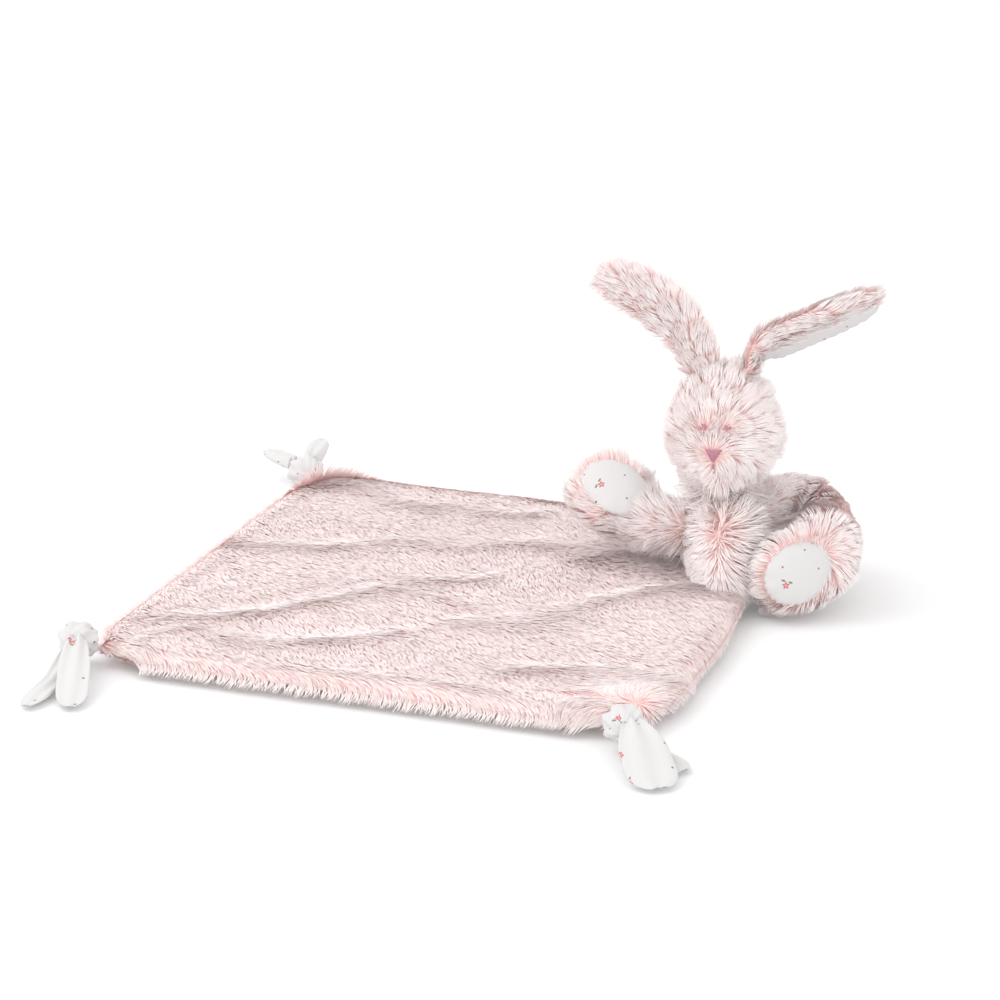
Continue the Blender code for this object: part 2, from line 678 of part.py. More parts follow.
def arm_rings(arm, wall, opening):
    """A round shoulder about its joint, the arm, and a round paw."""
    frames = arm_frames(arm)
    centre, along, side, out = frames[0]
    root = SHOULDER_RADIUS - wall
    first = asin(min(opening / root, 1.0))
    rings = []
    for i in range(SHOULDER_STEPS):
        angle = first + (pi / 2 - first) * i / SHOULDER_STEPS
        radius = root * sin(angle)
        place = centre - along * (root * cos(angle))
        rings.append(ellipse_ring(place, side, out, radius, radius, radius, ARM_SIDES))
    for index, (centre, along, side, out) in enumerate(frames):
        radius = arm_radius(arm, index / ARM_STEPS) - wall
        rings.append(ellipse_ring(centre, side, out, radius, radius, radius, ARM_SIDES))
    paw = radius
    for i in range(1, PAW_STEPS):
        angle = pi / 2 * i / PAW_STEPS
        radius = paw * cos(angle)
        place = centre + along * (paw * sin(angle))
        rings.append(ellipse_ring(place, side, out, radius, radius, radius, ARM_SIDES))
    return rings


def pad_frame(arm):
    """Middle, length, width and outward directions of the flat that carries a paw's pad."""
    frames = arm_frames(arm)
    centre = through([frame[0] for frame in frames], 1 - arm["pad_from_end_share"])
    along = frames[-1][1]
    facing = arm["pad_facing"]
    out = (facing - along * facing.dot(along)).normalized()
    return centre, along, out.cross(along), out


def pad_matrix(frame, forward, distance):
    centre, along, across, out = frame
    turned = Matrix((along, across, out)).transposed().to_4x4()
    return Matrix.Translation(centre + along * forward + out * distance) @ turned


def make_arm(arm, parent):
    cover = add_piece(arm["name"] + "_arm_cover", lofted(arm_rings(arm, 0.0, ARM_ROOT_FLAT_RADIUS)),
                      parent, (PLUSH_PINK, 0.9))
    inner = arm_rings(arm, ARM_WALL, ARM_OPENING_RADIUS)
    outwards = arm_frames(arm)[0][1] * -CUT_OVERRUN
    opening = [point + outwards for point in inner[0]]
    cut(cover, add_cutter(arm["name"] + "_arm_hollow", lofted([opening] + inner), parent), *blanket_seats)
    stuffing = add_piece(arm["name"] + "_arm_stuffing",
                         lofted(arm_rings(arm, ARM_WALL + STUFFING_GAP, ARM_STUFFING_END_RADIUS)),
                         parent, (STUFFING_WHITE, 0.95))

    frame = pad_frame(arm)
    for piece, distance in ((cover, PAD_DISTANCE), (stuffing, PAD_DISTANCE - TOUCH_GAP)):
        box = bmesh.new()
        bmesh.ops.create_cube(box, size=1.0)
        size = (2 * PAD_HALF_LENGTH + TOUCH_GAP + CUT_OVERRUN, 2 * (PAW_RADIUS + CUT_OVERRUN), CUT_OVERRUN)
        bmesh.ops.scale(box, verts=box.verts, vec=size)
        forward = (CUT_OVERRUN - TOUCH_GAP) / 2
        place = pad_matrix(frame, forward, distance + CUT_OVERRUN / 2)
        bmesh.ops.transform(box, verts=box.verts, matrix=place)
        cut(piece, add_cutter(piece.name + "_flat", box, parent))

    pad = bmesh.new()
    bmesh.ops.create_uvsphere(pad, u_segments=PAD_FACETS[0], v_segments=PAD_FACETS[1], radius=1.0)
    below = [vertex for vertex in pad.verts if vertex.co.z < -HALF_BALL_CUT_SHARE]
    bmesh.ops.delete(pad, geom=below, context="VERTS")
    bmesh.ops.holes_fill(pad, edges=[edge for edge in pad.edges if edge.is_boundary])
    bmesh.ops.scale(pad, verts=pad.verts, vec=(PAD_HALF_LENGTH, PAD_HALF_WIDTH, PAD_BULGE))
    bmesh.ops.transform(pad, verts=pad.verts, matrix=pad_matrix(frame, 0.0, PAD_DISTANCE + TOUCH_GAP))
    add_piece(arm["name"] + "_paw_pad", pad, parent, (COTTON_WHITE, 0.8))


# Corner ties

# Knot places from the blanket's corner, and each tie's heading, lift, length and width as shares, and level
FRONT_LEFT_TIE = {
    "name": "front_left", "corner": (-1, -1), "knot_shares": (-0.23, 0.27),
    "knot_heading": radians(-90),
    "knot_rise": FRONT_KNOT_RISE,
    "ties": (("upper", radians(-68), 0, 1.05, 0.95, 1), ("lower", radians(-88), 0, 1.08, 0.72, -1))}
FRONT_RIGHT_TIE = {
    "name": "front_right", "corner": (1, -1), "knot_shares": (-0.77, -0.77),
    "knot_heading": radians(-62),
    "knot_rise": FRONT_KNOT_RISE,
    "ties": (("upper", radians(-54), 0, 0.86, 1.45, 1), ("lower", radians(-28), 0, 0.62, 1.00, -1))}
BACK_LEFT_TIE = {
    "name": "back_left", "corner": (-1, 1), "knot_shares": (-0.60, 0.55),
    "knot_heading": radians(135),
    "knot_rise": BACK_KNOT_RISE,
    "ties": (("upper", radians(92), radians(28), 0.38, 0.75, 1),
             ("lower", radians(160), radians(8), 0.44, 0.75, 1))}
TIE_WIDTH_SHARES = (0.0, 0.55, 0.95, 1.0, 1.0, 0.9)
TIE_FALL_SHARES = {1: 1.0, -1: 0.42}


def knot_place(tie):
    x, y = blanket_place(*tie["corner"])
    across, back = tie["knot_shares"]
    return Vector((x + across * KNOT_HALF_LENGTH, y + back * KNOT_HALF_LENGTH, tie["knot_rise"]))


def tie_root(tie, heading, level):
    """A tie's hinge, on the knot's surface."""
    out = Vector((cos(heading), sin(heading), 0))
    turn = heading - tie["knot_heading"]
    reach = 1 / sqrt((cos(turn) / KNOT_HALF_LENGTH) ** 2 + (sin(turn) / KNOT_HALF_WIDTH) ** 2)
    level_share = TIE_ROOT_RISE / KNOT_HALF_HEIGHT
    return knot_place(tie) + out * (reach * sqrt(1 - level_share ** 2)) + UP * (level * TIE_ROOT_RISE)


def make_tie(tie, label, heading, lift, length_share, width_share, level):
    """A limp cotton end that falls from its knot to the floor, or stands up by its own stiffness."""
    root = tie_root(tie, heading, level)
    place = pivot(tie["name"] + "_" + label + "_tie_hinge", root)
    out = Vector((cos(heading), sin(heading), 0))
    side = Vector((-sin(heading), cos(heading), 0))
    length = TIE_LENGTH * length_share
    floor = TIE_HALF_THICKNESS + TIE_FLOOR_GAP - root.z
    centres = []
    for i in range(TIE_STEPS + 1):
        share = i / TIE_STEPS
        if lift:
            centres.append((out * cos(lift) + UP * sin(lift)) * (length * share))
        else:
            fall = floor * smooth(share / TIE_FALL_SHARES[level])
            centres.append(out * (length * share) + UP * fall)
    frames = frames_along(centres, side)
    centre, along, across, face = frames[0]
    start = centre - along * (TIE_HALF_THICKNESS * sin(TIE_ROOT_ANGLE))
    thin = TIE_HALF_THICKNESS * cos(TIE_ROOT_ANGLE)
    rings = [ellipse_ring(start, across, face, TIE_ROOT_HALF_WIDTH, thin, thin, TIE_SIDES)]
    for index, (centre, along, across, face) in enumerate(frames):
        share = index / TIE_STEPS
        wide = TIE_HALF_WIDTH * width_share - TIE_ROOT_HALF_WIDTH
        half = TIE_ROOT_HALF_WIDTH + wide * through(TIE_WIDTH_SHARES, share)
        half *= sqrt(1 - max((share - TIE_TIP_START_SHARE) / TIE_TIP_LENGTH_SHARE, 0.0) ** 2)
        rings.append(ellipse_ring(centre, across, face, half, TIE_HALF_THICKNESS, TIE_HALF_THICKNESS,
                                  TIE_SIDES))
    add_piece(tie["name"] + "_" + label + "_tie", lofted(rings), place, (COTTON_WHITE, 0.8))
    return root, side


def make_knot(tie):
    """A knot drawn tight against the blanket's corner, with two ends hanging out of it."""
    mesh = bmesh.new()
    bmesh.ops.create_uvsphere(mesh, u_segments=KNOT_FACETS[0], v_segments=KNOT_FACETS[1], radius=1.0)
    bmesh.ops.scale(mesh, verts=mesh.verts, vec=(KNOT_HALF_LENGTH, KNOT_HALF_WIDTH, KNOT_HALF_HEIGHT))
    knot = add_piece(tie["name"] + "_knot", mesh, None, (COTTON_WHITE, 0.8))
    knot.location = knot_place(tie)
    knot.rotation_euler = (0, 0, tie["knot_heading"])
    cut(knot, *blanket_seats)
    for end in tie["ties"]:
        root, side = make_tie(tie, *end)
        cut(knot, groove_cutter(tie["name"] + "_" + end[0] + "_groove", root, side, UP,
                                TIE_HALF_THICKNESS, TIE_ROOT_HALF_WIDTH))


make_blanket()
blanket_seats = [grown_cutter(bpy.data.objects[name], TOUCH_GAP)
                 for name in ("blanket_top_panel", "blanket_back_panel")]

left_shoulder = pivot("left_shoulder", shoulder_place(-1, LEFT_SHOULDER_BACK))
right_shoulder = pivot("right_shoulder", shoulder_place(1, RIGHT_SHOULDER_BACK))
make_chest([ball_cutter("left_arm_in_chest", left_shoulder.location, SHOULDER_RADIUS),
            ball_cutter("right_arm_in_chest", right_shoulder.location, SHOULDER_RADIUS)])

neck_pivot = pivot("neck_pivot", NECK_PLACE, HEAD_TURN)
make_neck(neck_pivot)
left_ear_hinge = pivot("left_ear_hinge", ear_root_place(-1), parent=neck_pivot)
right_ear_hinge = pivot("right_ear_hinge", ear_root_place(1), parent=neck_pivot)
left_rolls = (LEFT_EAR_ROOT_ROLL, LEFT_EAR_ROLL)
right_rolls = (RIGHT_EAR_ROOT_ROLL, RIGHT_EAR_ROLL)
left_ear = (LEFT_EAR_ROUTE_SHARES, LEFT_EAR_LENGTH, left_rolls, left_ear_hinge)
right_ear = (RIGHT_EAR_ROUTE_SHARES, RIGHT_EAR_LENGTH, right_rolls, right_ear_hinge)
make_head(neck_pivot, [ear_root_cutter("left_ear_groove", *left_ear),
                       ear_root_cutter("right_ear_groove", *right_ear)])
make_ear("left", *left_ear)
make_ear("right", *right_ear)

make_arm(LEFT_ARM, left_shoulder)
make_arm(RIGHT_ARM, right_shoulder)

make_knot(FRONT_LEFT_TIE)
make_knot(FRONT_RIGHT_TIE)
make_knot(BACK_LEFT_TIE)
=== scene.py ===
import json
from math import cos, pi, radians, sin, sqrt

import bmesh
import bpy
import numpy as np
from mathutils import Matrix, Vector


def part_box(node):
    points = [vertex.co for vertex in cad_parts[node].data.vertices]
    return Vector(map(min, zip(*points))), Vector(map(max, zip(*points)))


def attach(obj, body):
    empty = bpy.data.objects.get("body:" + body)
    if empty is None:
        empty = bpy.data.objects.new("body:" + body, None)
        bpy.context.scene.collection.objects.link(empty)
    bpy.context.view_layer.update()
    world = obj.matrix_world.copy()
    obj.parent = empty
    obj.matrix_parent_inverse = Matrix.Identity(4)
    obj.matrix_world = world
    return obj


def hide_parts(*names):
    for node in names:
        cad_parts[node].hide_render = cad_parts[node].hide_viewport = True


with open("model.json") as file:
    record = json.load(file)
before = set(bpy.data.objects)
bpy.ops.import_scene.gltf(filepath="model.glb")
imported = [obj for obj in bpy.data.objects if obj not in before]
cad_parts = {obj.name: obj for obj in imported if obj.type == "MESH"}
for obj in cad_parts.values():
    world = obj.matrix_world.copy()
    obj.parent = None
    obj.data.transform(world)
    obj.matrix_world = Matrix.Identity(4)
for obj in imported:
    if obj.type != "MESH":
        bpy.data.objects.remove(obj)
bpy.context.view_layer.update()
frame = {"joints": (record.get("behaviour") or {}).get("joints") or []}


# Blanket top panel
# A square of long-pile plush, cut square, laid pile side up and sewn round its edge to the back panel.
# The backing is a thin knit, rolled by the creases that cross it, and its pile is combed to the right.

CLOTH_THICKNESS = 0.0010
SEAM_INSET = 0.0068
SEAM_GAP = 0.0003
ROLLED_EDGE = 0.0120
BLANKET_GRID = 120
EDGE_CROWDING = 0.35            # share by which the grid's rows crowd towards the edge
TOP_CROWN = 0.0050
ROLLING, ROLL_SIZE = 0.0009, 0.07
GATHER = 0.0160
CORNER_ROUND = 0.0075
COMB_HEADING = radians(-38)
COMB_SWAYS = ((radians(16), 0.11, 1.1), (radians(9), 0.045, 2.3))
CREASE_HEADING = radians(-4)
CREASE_DEPTH = 0.0014
CREASE_WIDTH, SMALL_CREASE_WIDTH = 0.0125, 0.006
CREASE_ROLL_SIZE, CREASE_SHADE_SIZE = 0.04, 0.03
FAN_PLACE, FAN_SIZE = (0.138, -0.129), 0.030
TUFT_PLACE, TUFT_SIZE = (-0.160, 0.158), 0.030
ARM_SHADE, ARM_SHADE_WIDTH = ((0.050, 0.056), (0.121, 0.052)), 0.013
ARM_LOOP, ARM_LOOP_RADIUS, ARM_LOOP_WIDTH = (0.121, 0.066), 0.030, 0.010
TOP_STRIPS = 5
STRAND_FLATNESS, STRAND_ROUNDNESS, LOWEST_STRAND = 0.12, 0.32, 0.0004
CREASES = (
    ((-0.160, 0.020), (-0.105, 0.027), (-0.056, 0.050), (0.006, 0.078), (0.045, 0.072)),
    ((-0.137, -0.103), (-0.081, -0.066), (-0.036, -0.003), (0.000, 0.017)),
    ((-0.090, -0.112), (-0.044, -0.103), (-0.010, -0.078)),
    ((0.012, -0.054), (0.053, -0.039), (0.070, 0.005), (0.113, 0.041)),
    ((0.056, -0.104), (0.095, -0.096), (0.146, -0.090)),
    ((-0.131, 0.133), (-0.107, 0.127), (-0.070, 0.112), (-0.010, 0.120)))
SMALL_CREASES = (
    ((-0.050, -0.018), (-0.003, -0.025), (0.024, -0.038)),
    ((0.045, 0.072), (0.095, 0.082), (0.120, 0.092)),
    ((-0.131, -0.144), (-0.124, -0.122), (-0.105, -0.108)),
    ((-0.100, -0.150), (-0.031, -0.143), (0.061, -0.139)))


class Wire:
    """A node's output. Sums on it are written as plain expressions, and each adds its node."""

    def __init__(self, tree, socket):
        self.tree = tree
        self.socket = socket

    def work(self, operation, *terms, output=0):
        vectors = any(isinstance(term, Wire) and term.socket.type == "VECTOR" for term in terms)
        kind = "ShaderNodeVectorMath" if vectors else "ShaderNodeMath"
        return self.tree.add(kind, {"operation": operation}, dict(enumerate(terms)), output)

    def __add__(self, other):
        return self.work("ADD", self, other)

    __radd__ = __add__

    def __sub__(self, other):
        return self.work("SUBTRACT", self, other)

    def __rsub__(self, other):
        return self.work("SUBTRACT", other, self)

    def __mul__(self, other):
        return self.work("MULTIPLY", self, other)

    __rmul__ = __mul__

    def call(self, operation, *others):
        return self.work(operation, self, *others)

    def clamp(self, low=0.0, high=1.0):
        return self.call("MAXIMUM", low).call("MINIMUM", high)

    def dot(self, other):
        return self.work("DOT_PRODUCT", self, other, output="Value")

    def part(self, axis):
        return self.tree.add("ShaderNodeSeparateXYZ", (), {0: self}, axis)

    def beside(self, output):
        """Another output of the same node."""
        return Wire(self.tree, self.socket.node.outputs[output])

    def feed(self, node, socket):
        self.tree.links.new(self.socket, node.inputs[socket])


class Tree:
    """A node tree, and the one way in which nodes are added to it."""

    def __init__(self, group):
        self.nodes = group.nodes
        self.links = group.links

    def pick(self, sockets, key):
        if isinstance(key, int):
            return sockets[key]
        exact = [socket for socket in sockets if socket.identifier == key]
        return (exact or [socket for socket in sockets if socket.name == key and socket.enabled])[0]

    def add(self, kind, settings=(), inputs=(), output=0):
        """Add a node with its settings, then the values or links of its sockets, and give one output."""
        node = self.nodes.new(kind)
        for name, value in dict(settings).items():
            if name == "stops":
                stops = node.color_ramp.elements
                for index, (place, colour) in enumerate(value):
                    stop = stops[index] if index < len(stops) else stops.new(place)
                    stop.position = place
                    stop.color = (*colour, 1)
            else:
                setattr(node, name, value)
        for key, value in dict(inputs).items():
            socket = self.pick(node.inputs, key)
            if isinstance(value, Wire):
                self.links.new(value.socket, socket)
            elif socket.type == "VECTOR" and isinstance(value, (int, float)):
                socket.default_value = (value, value, value)
            elif socket.type == "RGBA":
                socket.default_value = (*value, 1)
            else:
                socket.default_value = value
        return Wire(self, self.pick(node.outputs, output))

    def mix(self, share, first, second):
        """A colour between two, for a share that changes over the surface."""
        return self.add("ShaderNodeMix", {"data_type": "RGBA"},
                        {"Factor_Float": share, "A_Color": first, "B_Color": second}, "Result_Color")

    def noise(self, place, scale, detail):
        return self.add("ShaderNodeTexNoise", (), {"Vector": place, "Scale": scale, "Detail": detail}, "Fac")

    def bump(self, shader, height, strength, distance):
        self.add("ShaderNodeBump", (), {"Strength": strength, "Distance": distance,
                                        "Height": height}).feed(shader, "Normal")


def finish_tree(name, roughness, **shader):
    """A material with a bare Principled shader, and the tree to build its colour in."""
    material = bpy.data.materials.new(name)
    material.use_nodes = True
    principled = material.node_tree.nodes["Principled BSDF"]
    principled.inputs["Roughness"].default_value = roughness
    for socket, value in shader.items():
        principled.inputs[socket.replace("_", " ")].default_value = value
    return material, Tree(material.node_tree), principled


def plush_skin_finish(pink):
    """The knitted backing, which is deeper pink than its pile and has a fine bumpy knit."""
    material, tree, shader = finish_tree("plush backing", 0.95)
    place = tree.add("ShaderNodeTexCoord", (), (), "Object")
    patches = tree.noise(place, 90, 3)
    darker, lighter = (tuple(min(c * share, 1) for c in pink) for share in (0.86, 1.15))
    tree.mix(patches, darker, lighter).feed(shader, "Base Color")
    knit = tree.add("ShaderNodeTexVoronoi", (), {"Vector": place, "Scale": 1400}, "Distance")
    tree.bump(shader, knit, 0.4, 0.0003)
    return material


def pile_finish(name, root, middle, tip):
    """Pile that pales from root to tip. Across its map runs each strand's own tone, and up it the strand."""
    material, tree, shader = finish_tree(name, 0.75, Sheen_Weight=0.35, Sheen_Roughness=0.45,
                                         Sheen_Tint=(1.0, 0.86, 0.84, 1.0), Specular_IOR_Level=0.25)
    place = tree.add("ShaderNodeUVMap", {"uv_map": "OFBake"})
    # The deeper pink low on each strand is partly the pile's own colour and partly painted shade, for the
    # pink glow among the shaded roots.
    up = (place.part("Y") * 1.5).call("MINIMUM", 1.0)
    paleness = place.part("X") * (0.15 + up * 0.85)
    stops = ((0.0, root), (0.50, middle), (0.92, tip))
    tree.add("ShaderNodeValToRGB", {"stops": stops}, {"Fac": paleness}, "Color").feed(shader, "Base Color")
    return material


def pile_recipe():
    """Strands of pile on a skin: fine closed spikes that leave it upright, lie down along the comb
    and draw together in tufts. The skin carries the comb, how long and upright the pile is,
    and how much painted shade deepens its pink."""
    group = bpy.data.node_groups.new("plush pile", "GeometryNodeTree")
    kinds = {"Skin": "Geometry", "Finish": "Material", "Seed": "Int"}
    sockets = {}
    for name in ("Skin", "Finish", "Seed", "Strands per area", "Length", "Width", "Lean at root",
                 "Lean at tip", "Stray", "Tufts per length", "Tuft pull", "From", "To",
                 "Tousle", "Patchiness"):
        kind = "NodeSocket" + kinds.get(name, "Float")
        sockets[name] = group.interface.new_socket(name, in_out="INPUT", socket_type=kind).identifier
    group.interface.new_socket("Pile", in_out="OUTPUT", socket_type="NodeSocketGeometry")
    tree = Tree(group)
    given = group.nodes.new("NodeGroupInput")

    def take(name):
        return Wire(tree, given.outputs[name])

    def named(name, kind="FLOAT"):
        return tree.add("GeometryNodeInputNamedAttribute", {"data_type": kind}, {"Name": name}, "Attribute")

    def of_strand(name):
        return named("strand " + name, "FLOAT_VECTOR")

    def store(geometry, name, value, kind, domain="POINT"):
        return tree.add("GeometryNodeStoreNamedAttribute", {"data_type": kind, "domain": domain},
                        {"Geometry": geometry, "Name": name, "Value": value})

    def chance(seed):
        return tree.add("FunctionNodeRandomValue", {"data_type": "FLOAT"}, {"Seed": seed}, "Value")

    across = tree.add("GeometryNodeInputPosition").part("X")
    inside = across.call("GREATER_THAN", take("From")) * across.call("LESS_THAN", take("To"))
    sown = tree.add("GeometryNodeDistributePointsOnFaces", {"distribute_method": "RANDOM"},
                    {"Mesh": take("Skin"), "Selection": inside, "Seed": take("Seed"),
                     "Density": take("Strands per area") * named("cover")}, "Points")
    normal = sown.beside("Normal")
    root = tree.add("GeometryNodeInputPosition")
    tuft = {"Vector": root, "Scale": take("Tufts per length")}
    tuft = tree.add("ShaderNodeTexVoronoi", (), tuft, "Position")
    tuft_tint = tuft.beside("Color")
    tuft_chance = tuft_tint.part("X") - 0.5
    drift = tree.noise(root, 28, 1) - 0.5

    comb = named("comb", "FLOAT_VECTOR")
    comb = (comb - normal * comb.dot(normal)).call("NORMALIZE")
    swing = (chance(1) - 0.5) * take("Stray") + (tuft_chance * 0.25 + drift * 0.5) * take("Tousle")
    comb = tree.add("ShaderNodeVectorRotate", {"rotation_type": "AXIS_ANGLE"},
                    {"Vector": comb, "Axis": normal, "Angle": swing})
    lift = ((chance(2) - 0.5) * 0.26 + (tuft_tint.part("Y") - 0.5) * 0.20) * take("Tousle")
    stand = 1.0 - named("stand")
    root_lean = (take("Lean at root") + lift) * stand
    tip_lean = (take("Lean at tip") + lift) * stand
    rise = normal * root_lean.call("COSINE") + comb * root_lean.call("SINE")
    lie = normal * tip_lean.call("COSINE") + comb * tip_lean.call("SINE")
    length = take("Length") * named("growth") * (0.72 + chance(3) * 0.4 + tuft_chance * 0.25 * take("Tousle"))
    side = normal.call("CROSS_PRODUCT", comb).call("NORMALIZE")
    over = rise.call("CROSS_PRODUCT", side) * STRAND_FLATNESS
    width = take("Width") * (0.7 + chance(4) * 0.6)
    draw = tuft - root
    draw = (draw - normal * draw.dot(normal)) * take("Tuft pull")
    odd, odd_tuft = chance(5), tuft_tint.part("Z")
    patch = ((tree.noise(root, 62, 2) - 0.52) * 5.0).clamp() * chance(6) * take("Patchiness")
    # Painted shade: strands are made deeper pink where the skin asks for it, standing in for the shade in
    # creases, nooks and gaps.
    shade = named("painted_shade") * chance(7) * 0.85
    tone = 0.97 - odd.call("POWER", 5) * 0.4 - odd_tuft * odd_tuft * 0.06 - shade - patch
    tone = tone.clamp(0.015, 0.985)

    points = sown
    kept = {"root": root, "normal": normal + lie * 0.15, "rise": rise * length, "lie": lie * length,
            "draw": draw, "side": side * width * -1.0, "over": over * width}
    for name, value in kept.items():
        points = store(points, "strand " + name, value, "FLOAT_VECTOR")
    points = store(points, "strand tone", tone, "FLOAT")
    spike = {"Vertices": 3, "Side Segments": 2, "Radius Top": 0.0, "Radius Bottom": 1.0, "Depth": 1.0}
    spike = tree.add("GeometryNodeMeshCone", {"fill_type": "NGON"}, spike)
    spike = tree.add("GeometryNodeSetShadeSmooth", (), {"Geometry": spike, "Shade Smooth": False})
    strands = tree.add("GeometryNodeInstanceOnPoints", (), {"Points": points, "Instance": spike})
    strands = tree.add("GeometryNodeRealizeInstances", (), {"Geometry": strands})

    local = tree.add("GeometryNodeInputPosition") - of_strand("root")
    along, x, y = local.part("Z"), local.part("X"), local.part("Y")
    spot = tree.add("ShaderNodeCombineXYZ", (), {
        "X": named("strand tone") + (x + y * 0.5) * 0.004, "Y": 0.02 + along * 0.95 + y * 0.003})
    strands = store(strands, "OFBake", spot, "FLOAT2", "CORNER")
    bend = along * along * 0.5
    middle = (of_strand("root") + of_strand("rise") * (along - bend) + of_strand("lie") * bend
              + of_strand("draw") * (bend * 2))
    round_it = of_strand("over") * x + of_strand("side") * y
    place = middle + round_it * (1.0 + along)
    place = tree.add("ShaderNodeCombineXYZ", (), {
        "X": place.part("X"), "Y": place.part("Y"), "Z": place.part("Z").call("MAXIMUM", LOWEST_STRAND)})
    strands = tree.add("GeometryNodeSetPosition", (), {"Geometry": strands, "Position": place})
    spread = round_it.call("NORMALIZE") * STRAND_ROUNDNESS + of_strand("normal")
    strands = tree.add("GeometryNodeSetMeshNormal", {"mode": "FREE", "domain": "POINT"},
                       {"Mesh": strands, "Custom Normal": spread.call("NORMALIZE")})
    strands = tree.add("GeometryNodeSetMaterial", (), {"Geometry": strands, "Material": take("Finish")})
    strands.feed(group.nodes.new("NodeGroupOutput"), "Pile")
    return group, sockets


def link_up(name, data):
    thing = bpy.data.objects.new(name, data)
    bpy.context.scene.collection.objects.link(thing)
    return thing


def plain_mesh(name, mesh):
    """The mesh that a bmesh has built up, smooth shaded."""
    data = bpy.data.meshes.new(name)
    mesh.to_mesh(data)
    mesh.free()
    data.shade_smooth()
    return data


def evaluated(thing, name):
    """A plain mesh of what an object's modifiers make, in place of the object."""
    bpy.context.view_layer.update()
    graph = bpy.context.evaluated_depsgraph_get()
    mesh = bpy.data.meshes.new_from_object(thing.evaluated_get(graph), depsgraph=graph)
    mesh.name = name
    bpy.data.objects.remove(thing)
    return link_up(name, mesh)


def mark(mesh, comb, growth=1.0, painted_shade=0.0, stand=0.0, cover=1.0):
    """Write on a skin's points how its pile lies, and how much painted shade deepens its pink."""
    count = len(mesh.vertices)
    vectors = mesh.attributes.new("comb", "FLOAT_VECTOR", "POINT")
    vectors.data.foreach_set("vector", np.broadcast_to(comb, (count, 3)).astype(np.float32).ravel())
    for name, value in (("growth", growth), ("painted_shade", painted_shade), ("stand", stand), ("cover", cover)):
        numbers = mesh.attributes.new(name, "FLOAT", "POINT")
        numbers.data.foreach_set("value", np.broadcast_to(value, (count,)).astype(np.float32))


def places(mesh):
    flat = np.empty(len(mesh.vertices) * 3)
    mesh.vertices.foreach_get("co", flat)
    return flat.reshape(-1, 3)


def grow(name, skin_mesh, body, finish, **values):
    """Grow the pile of one piece, as a plain mesh of its own that rides on the piece's body."""
    settings = {"Finish": finish, "Strands per area": 1.0e6, "Seed": 1, "Length": 0.013, "Width": 0.00066,
                "Lean at root": radians(80), "Lean at tip": radians(90), "Stray": 0.3, "Tousle": 0.25,
                "Tufts per length": 150.0, "Tuft pull": 0.15, "From": -1.0, "To": 1.0, "Patchiness": 0.7}
    settings.update({key.replace("_", " "): value for key, value in values.items()})
    sower = link_up(name + "_sower", skin_mesh)
    modifier = sower.modifiers.new("pile", "NODES")
    modifier.node_group = PILE
    for key, value in settings.items():
        modifier[PILE_SOCKETS[key]] = value
    pile = evaluated(sower, name)
    for attribute in [a.name for a in pile.data.attributes if a.name.startswith("strand ")]:
        pile.data.attributes.remove(pile.data.attributes[attribute])
    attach(pile, body)


def grow_strips(name, skin_mesh, ends, first_seed, **values):
    """Grow the blanket's pile in strips, each a piece of its own."""
    for number, (start, end) in enumerate(zip(ends, ends[1:]), 1):
        grow(f"{name}_{number}", skin_mesh, "blanket", PLUSH,
             Seed=first_seed + number, From=start, To=end, **values)


def fit(thing, body, slot, *nodes):
    """Let a piece ride on its body, in place of the plain solids that it stands for."""
    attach(thing, body)
    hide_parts(*nodes)


PILE, PILE_SOCKETS = pile_recipe()
SKIN = plush_skin_finish((0.97, 0.62, 0.60))
PLUSH = pile_finish("plush pile", (0.96, 0.51, 0.49), (0.99, 0.75, 0.73), (0.998, 0.918, 0.903))

top_low, top_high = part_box("blanket_top_panel")
SEAM_HALF = top_high.x - SEAM_INSET
SEAM_HEIGHT = top_low.z + SEAM_GAP


def ease(share):
    share = np.clip(share, 0.0, 1.0)
    share = share * share * (3 - 2 * share)
    return share if np.ndim(share) else float(share)


def step(value, start, end):
    """0 up to the start and 1 from the end on, with a smooth rise between."""
    return ease((value - start) / (end - start))


def bell(distance, width, power=2):
    """1 at no distance, falling off smoothly over a width."""
    near = np.exp(-(distance / width) ** power)
    return near if np.ndim(near) else float(near)


def near_line(x, y, line):
    """Distance from points to a line of straight runs."""
    best = np.full(np.shape(x), 1.0)
    for (ax, ay), (bx, by) in zip(line, line[1:]):
        length = (bx - ax) ** 2 + (by - ay) ** 2
        along = np.clip(((x - ax) * (bx - ax) + (y - ay) * (by - ay)) / length, 0, 1)
        best = np.minimum(best, np.hypot(x - ax - along * (bx - ax), y - ay - along * (by - ay)))
    return best


def creased(x, y, lines, width):
    """How far into a crease each point is, from 0 to 1."""
    depth = np.zeros(np.shape(x))
    for line in lines:
        depth = np.maximum(depth, bell(near_line(x, y, line), width))
    return depth


def rolling(x, y, size, seed):
    """Slow ups and downs between -1 and 1, some of that size."""
    value = np.zeros(np.shape(x))
    for turn, part in ((0.3, 0.45), (1.7, 0.35), (2.6, 0.2)):
        wave = size * (1.0 + 0.37 * turn)
        ahead = x * cos(turn + seed) + y * sin(turn + seed)
        value += part * np.sin(2 * pi * ahead / wave + 3 * seed + turn)
    return value


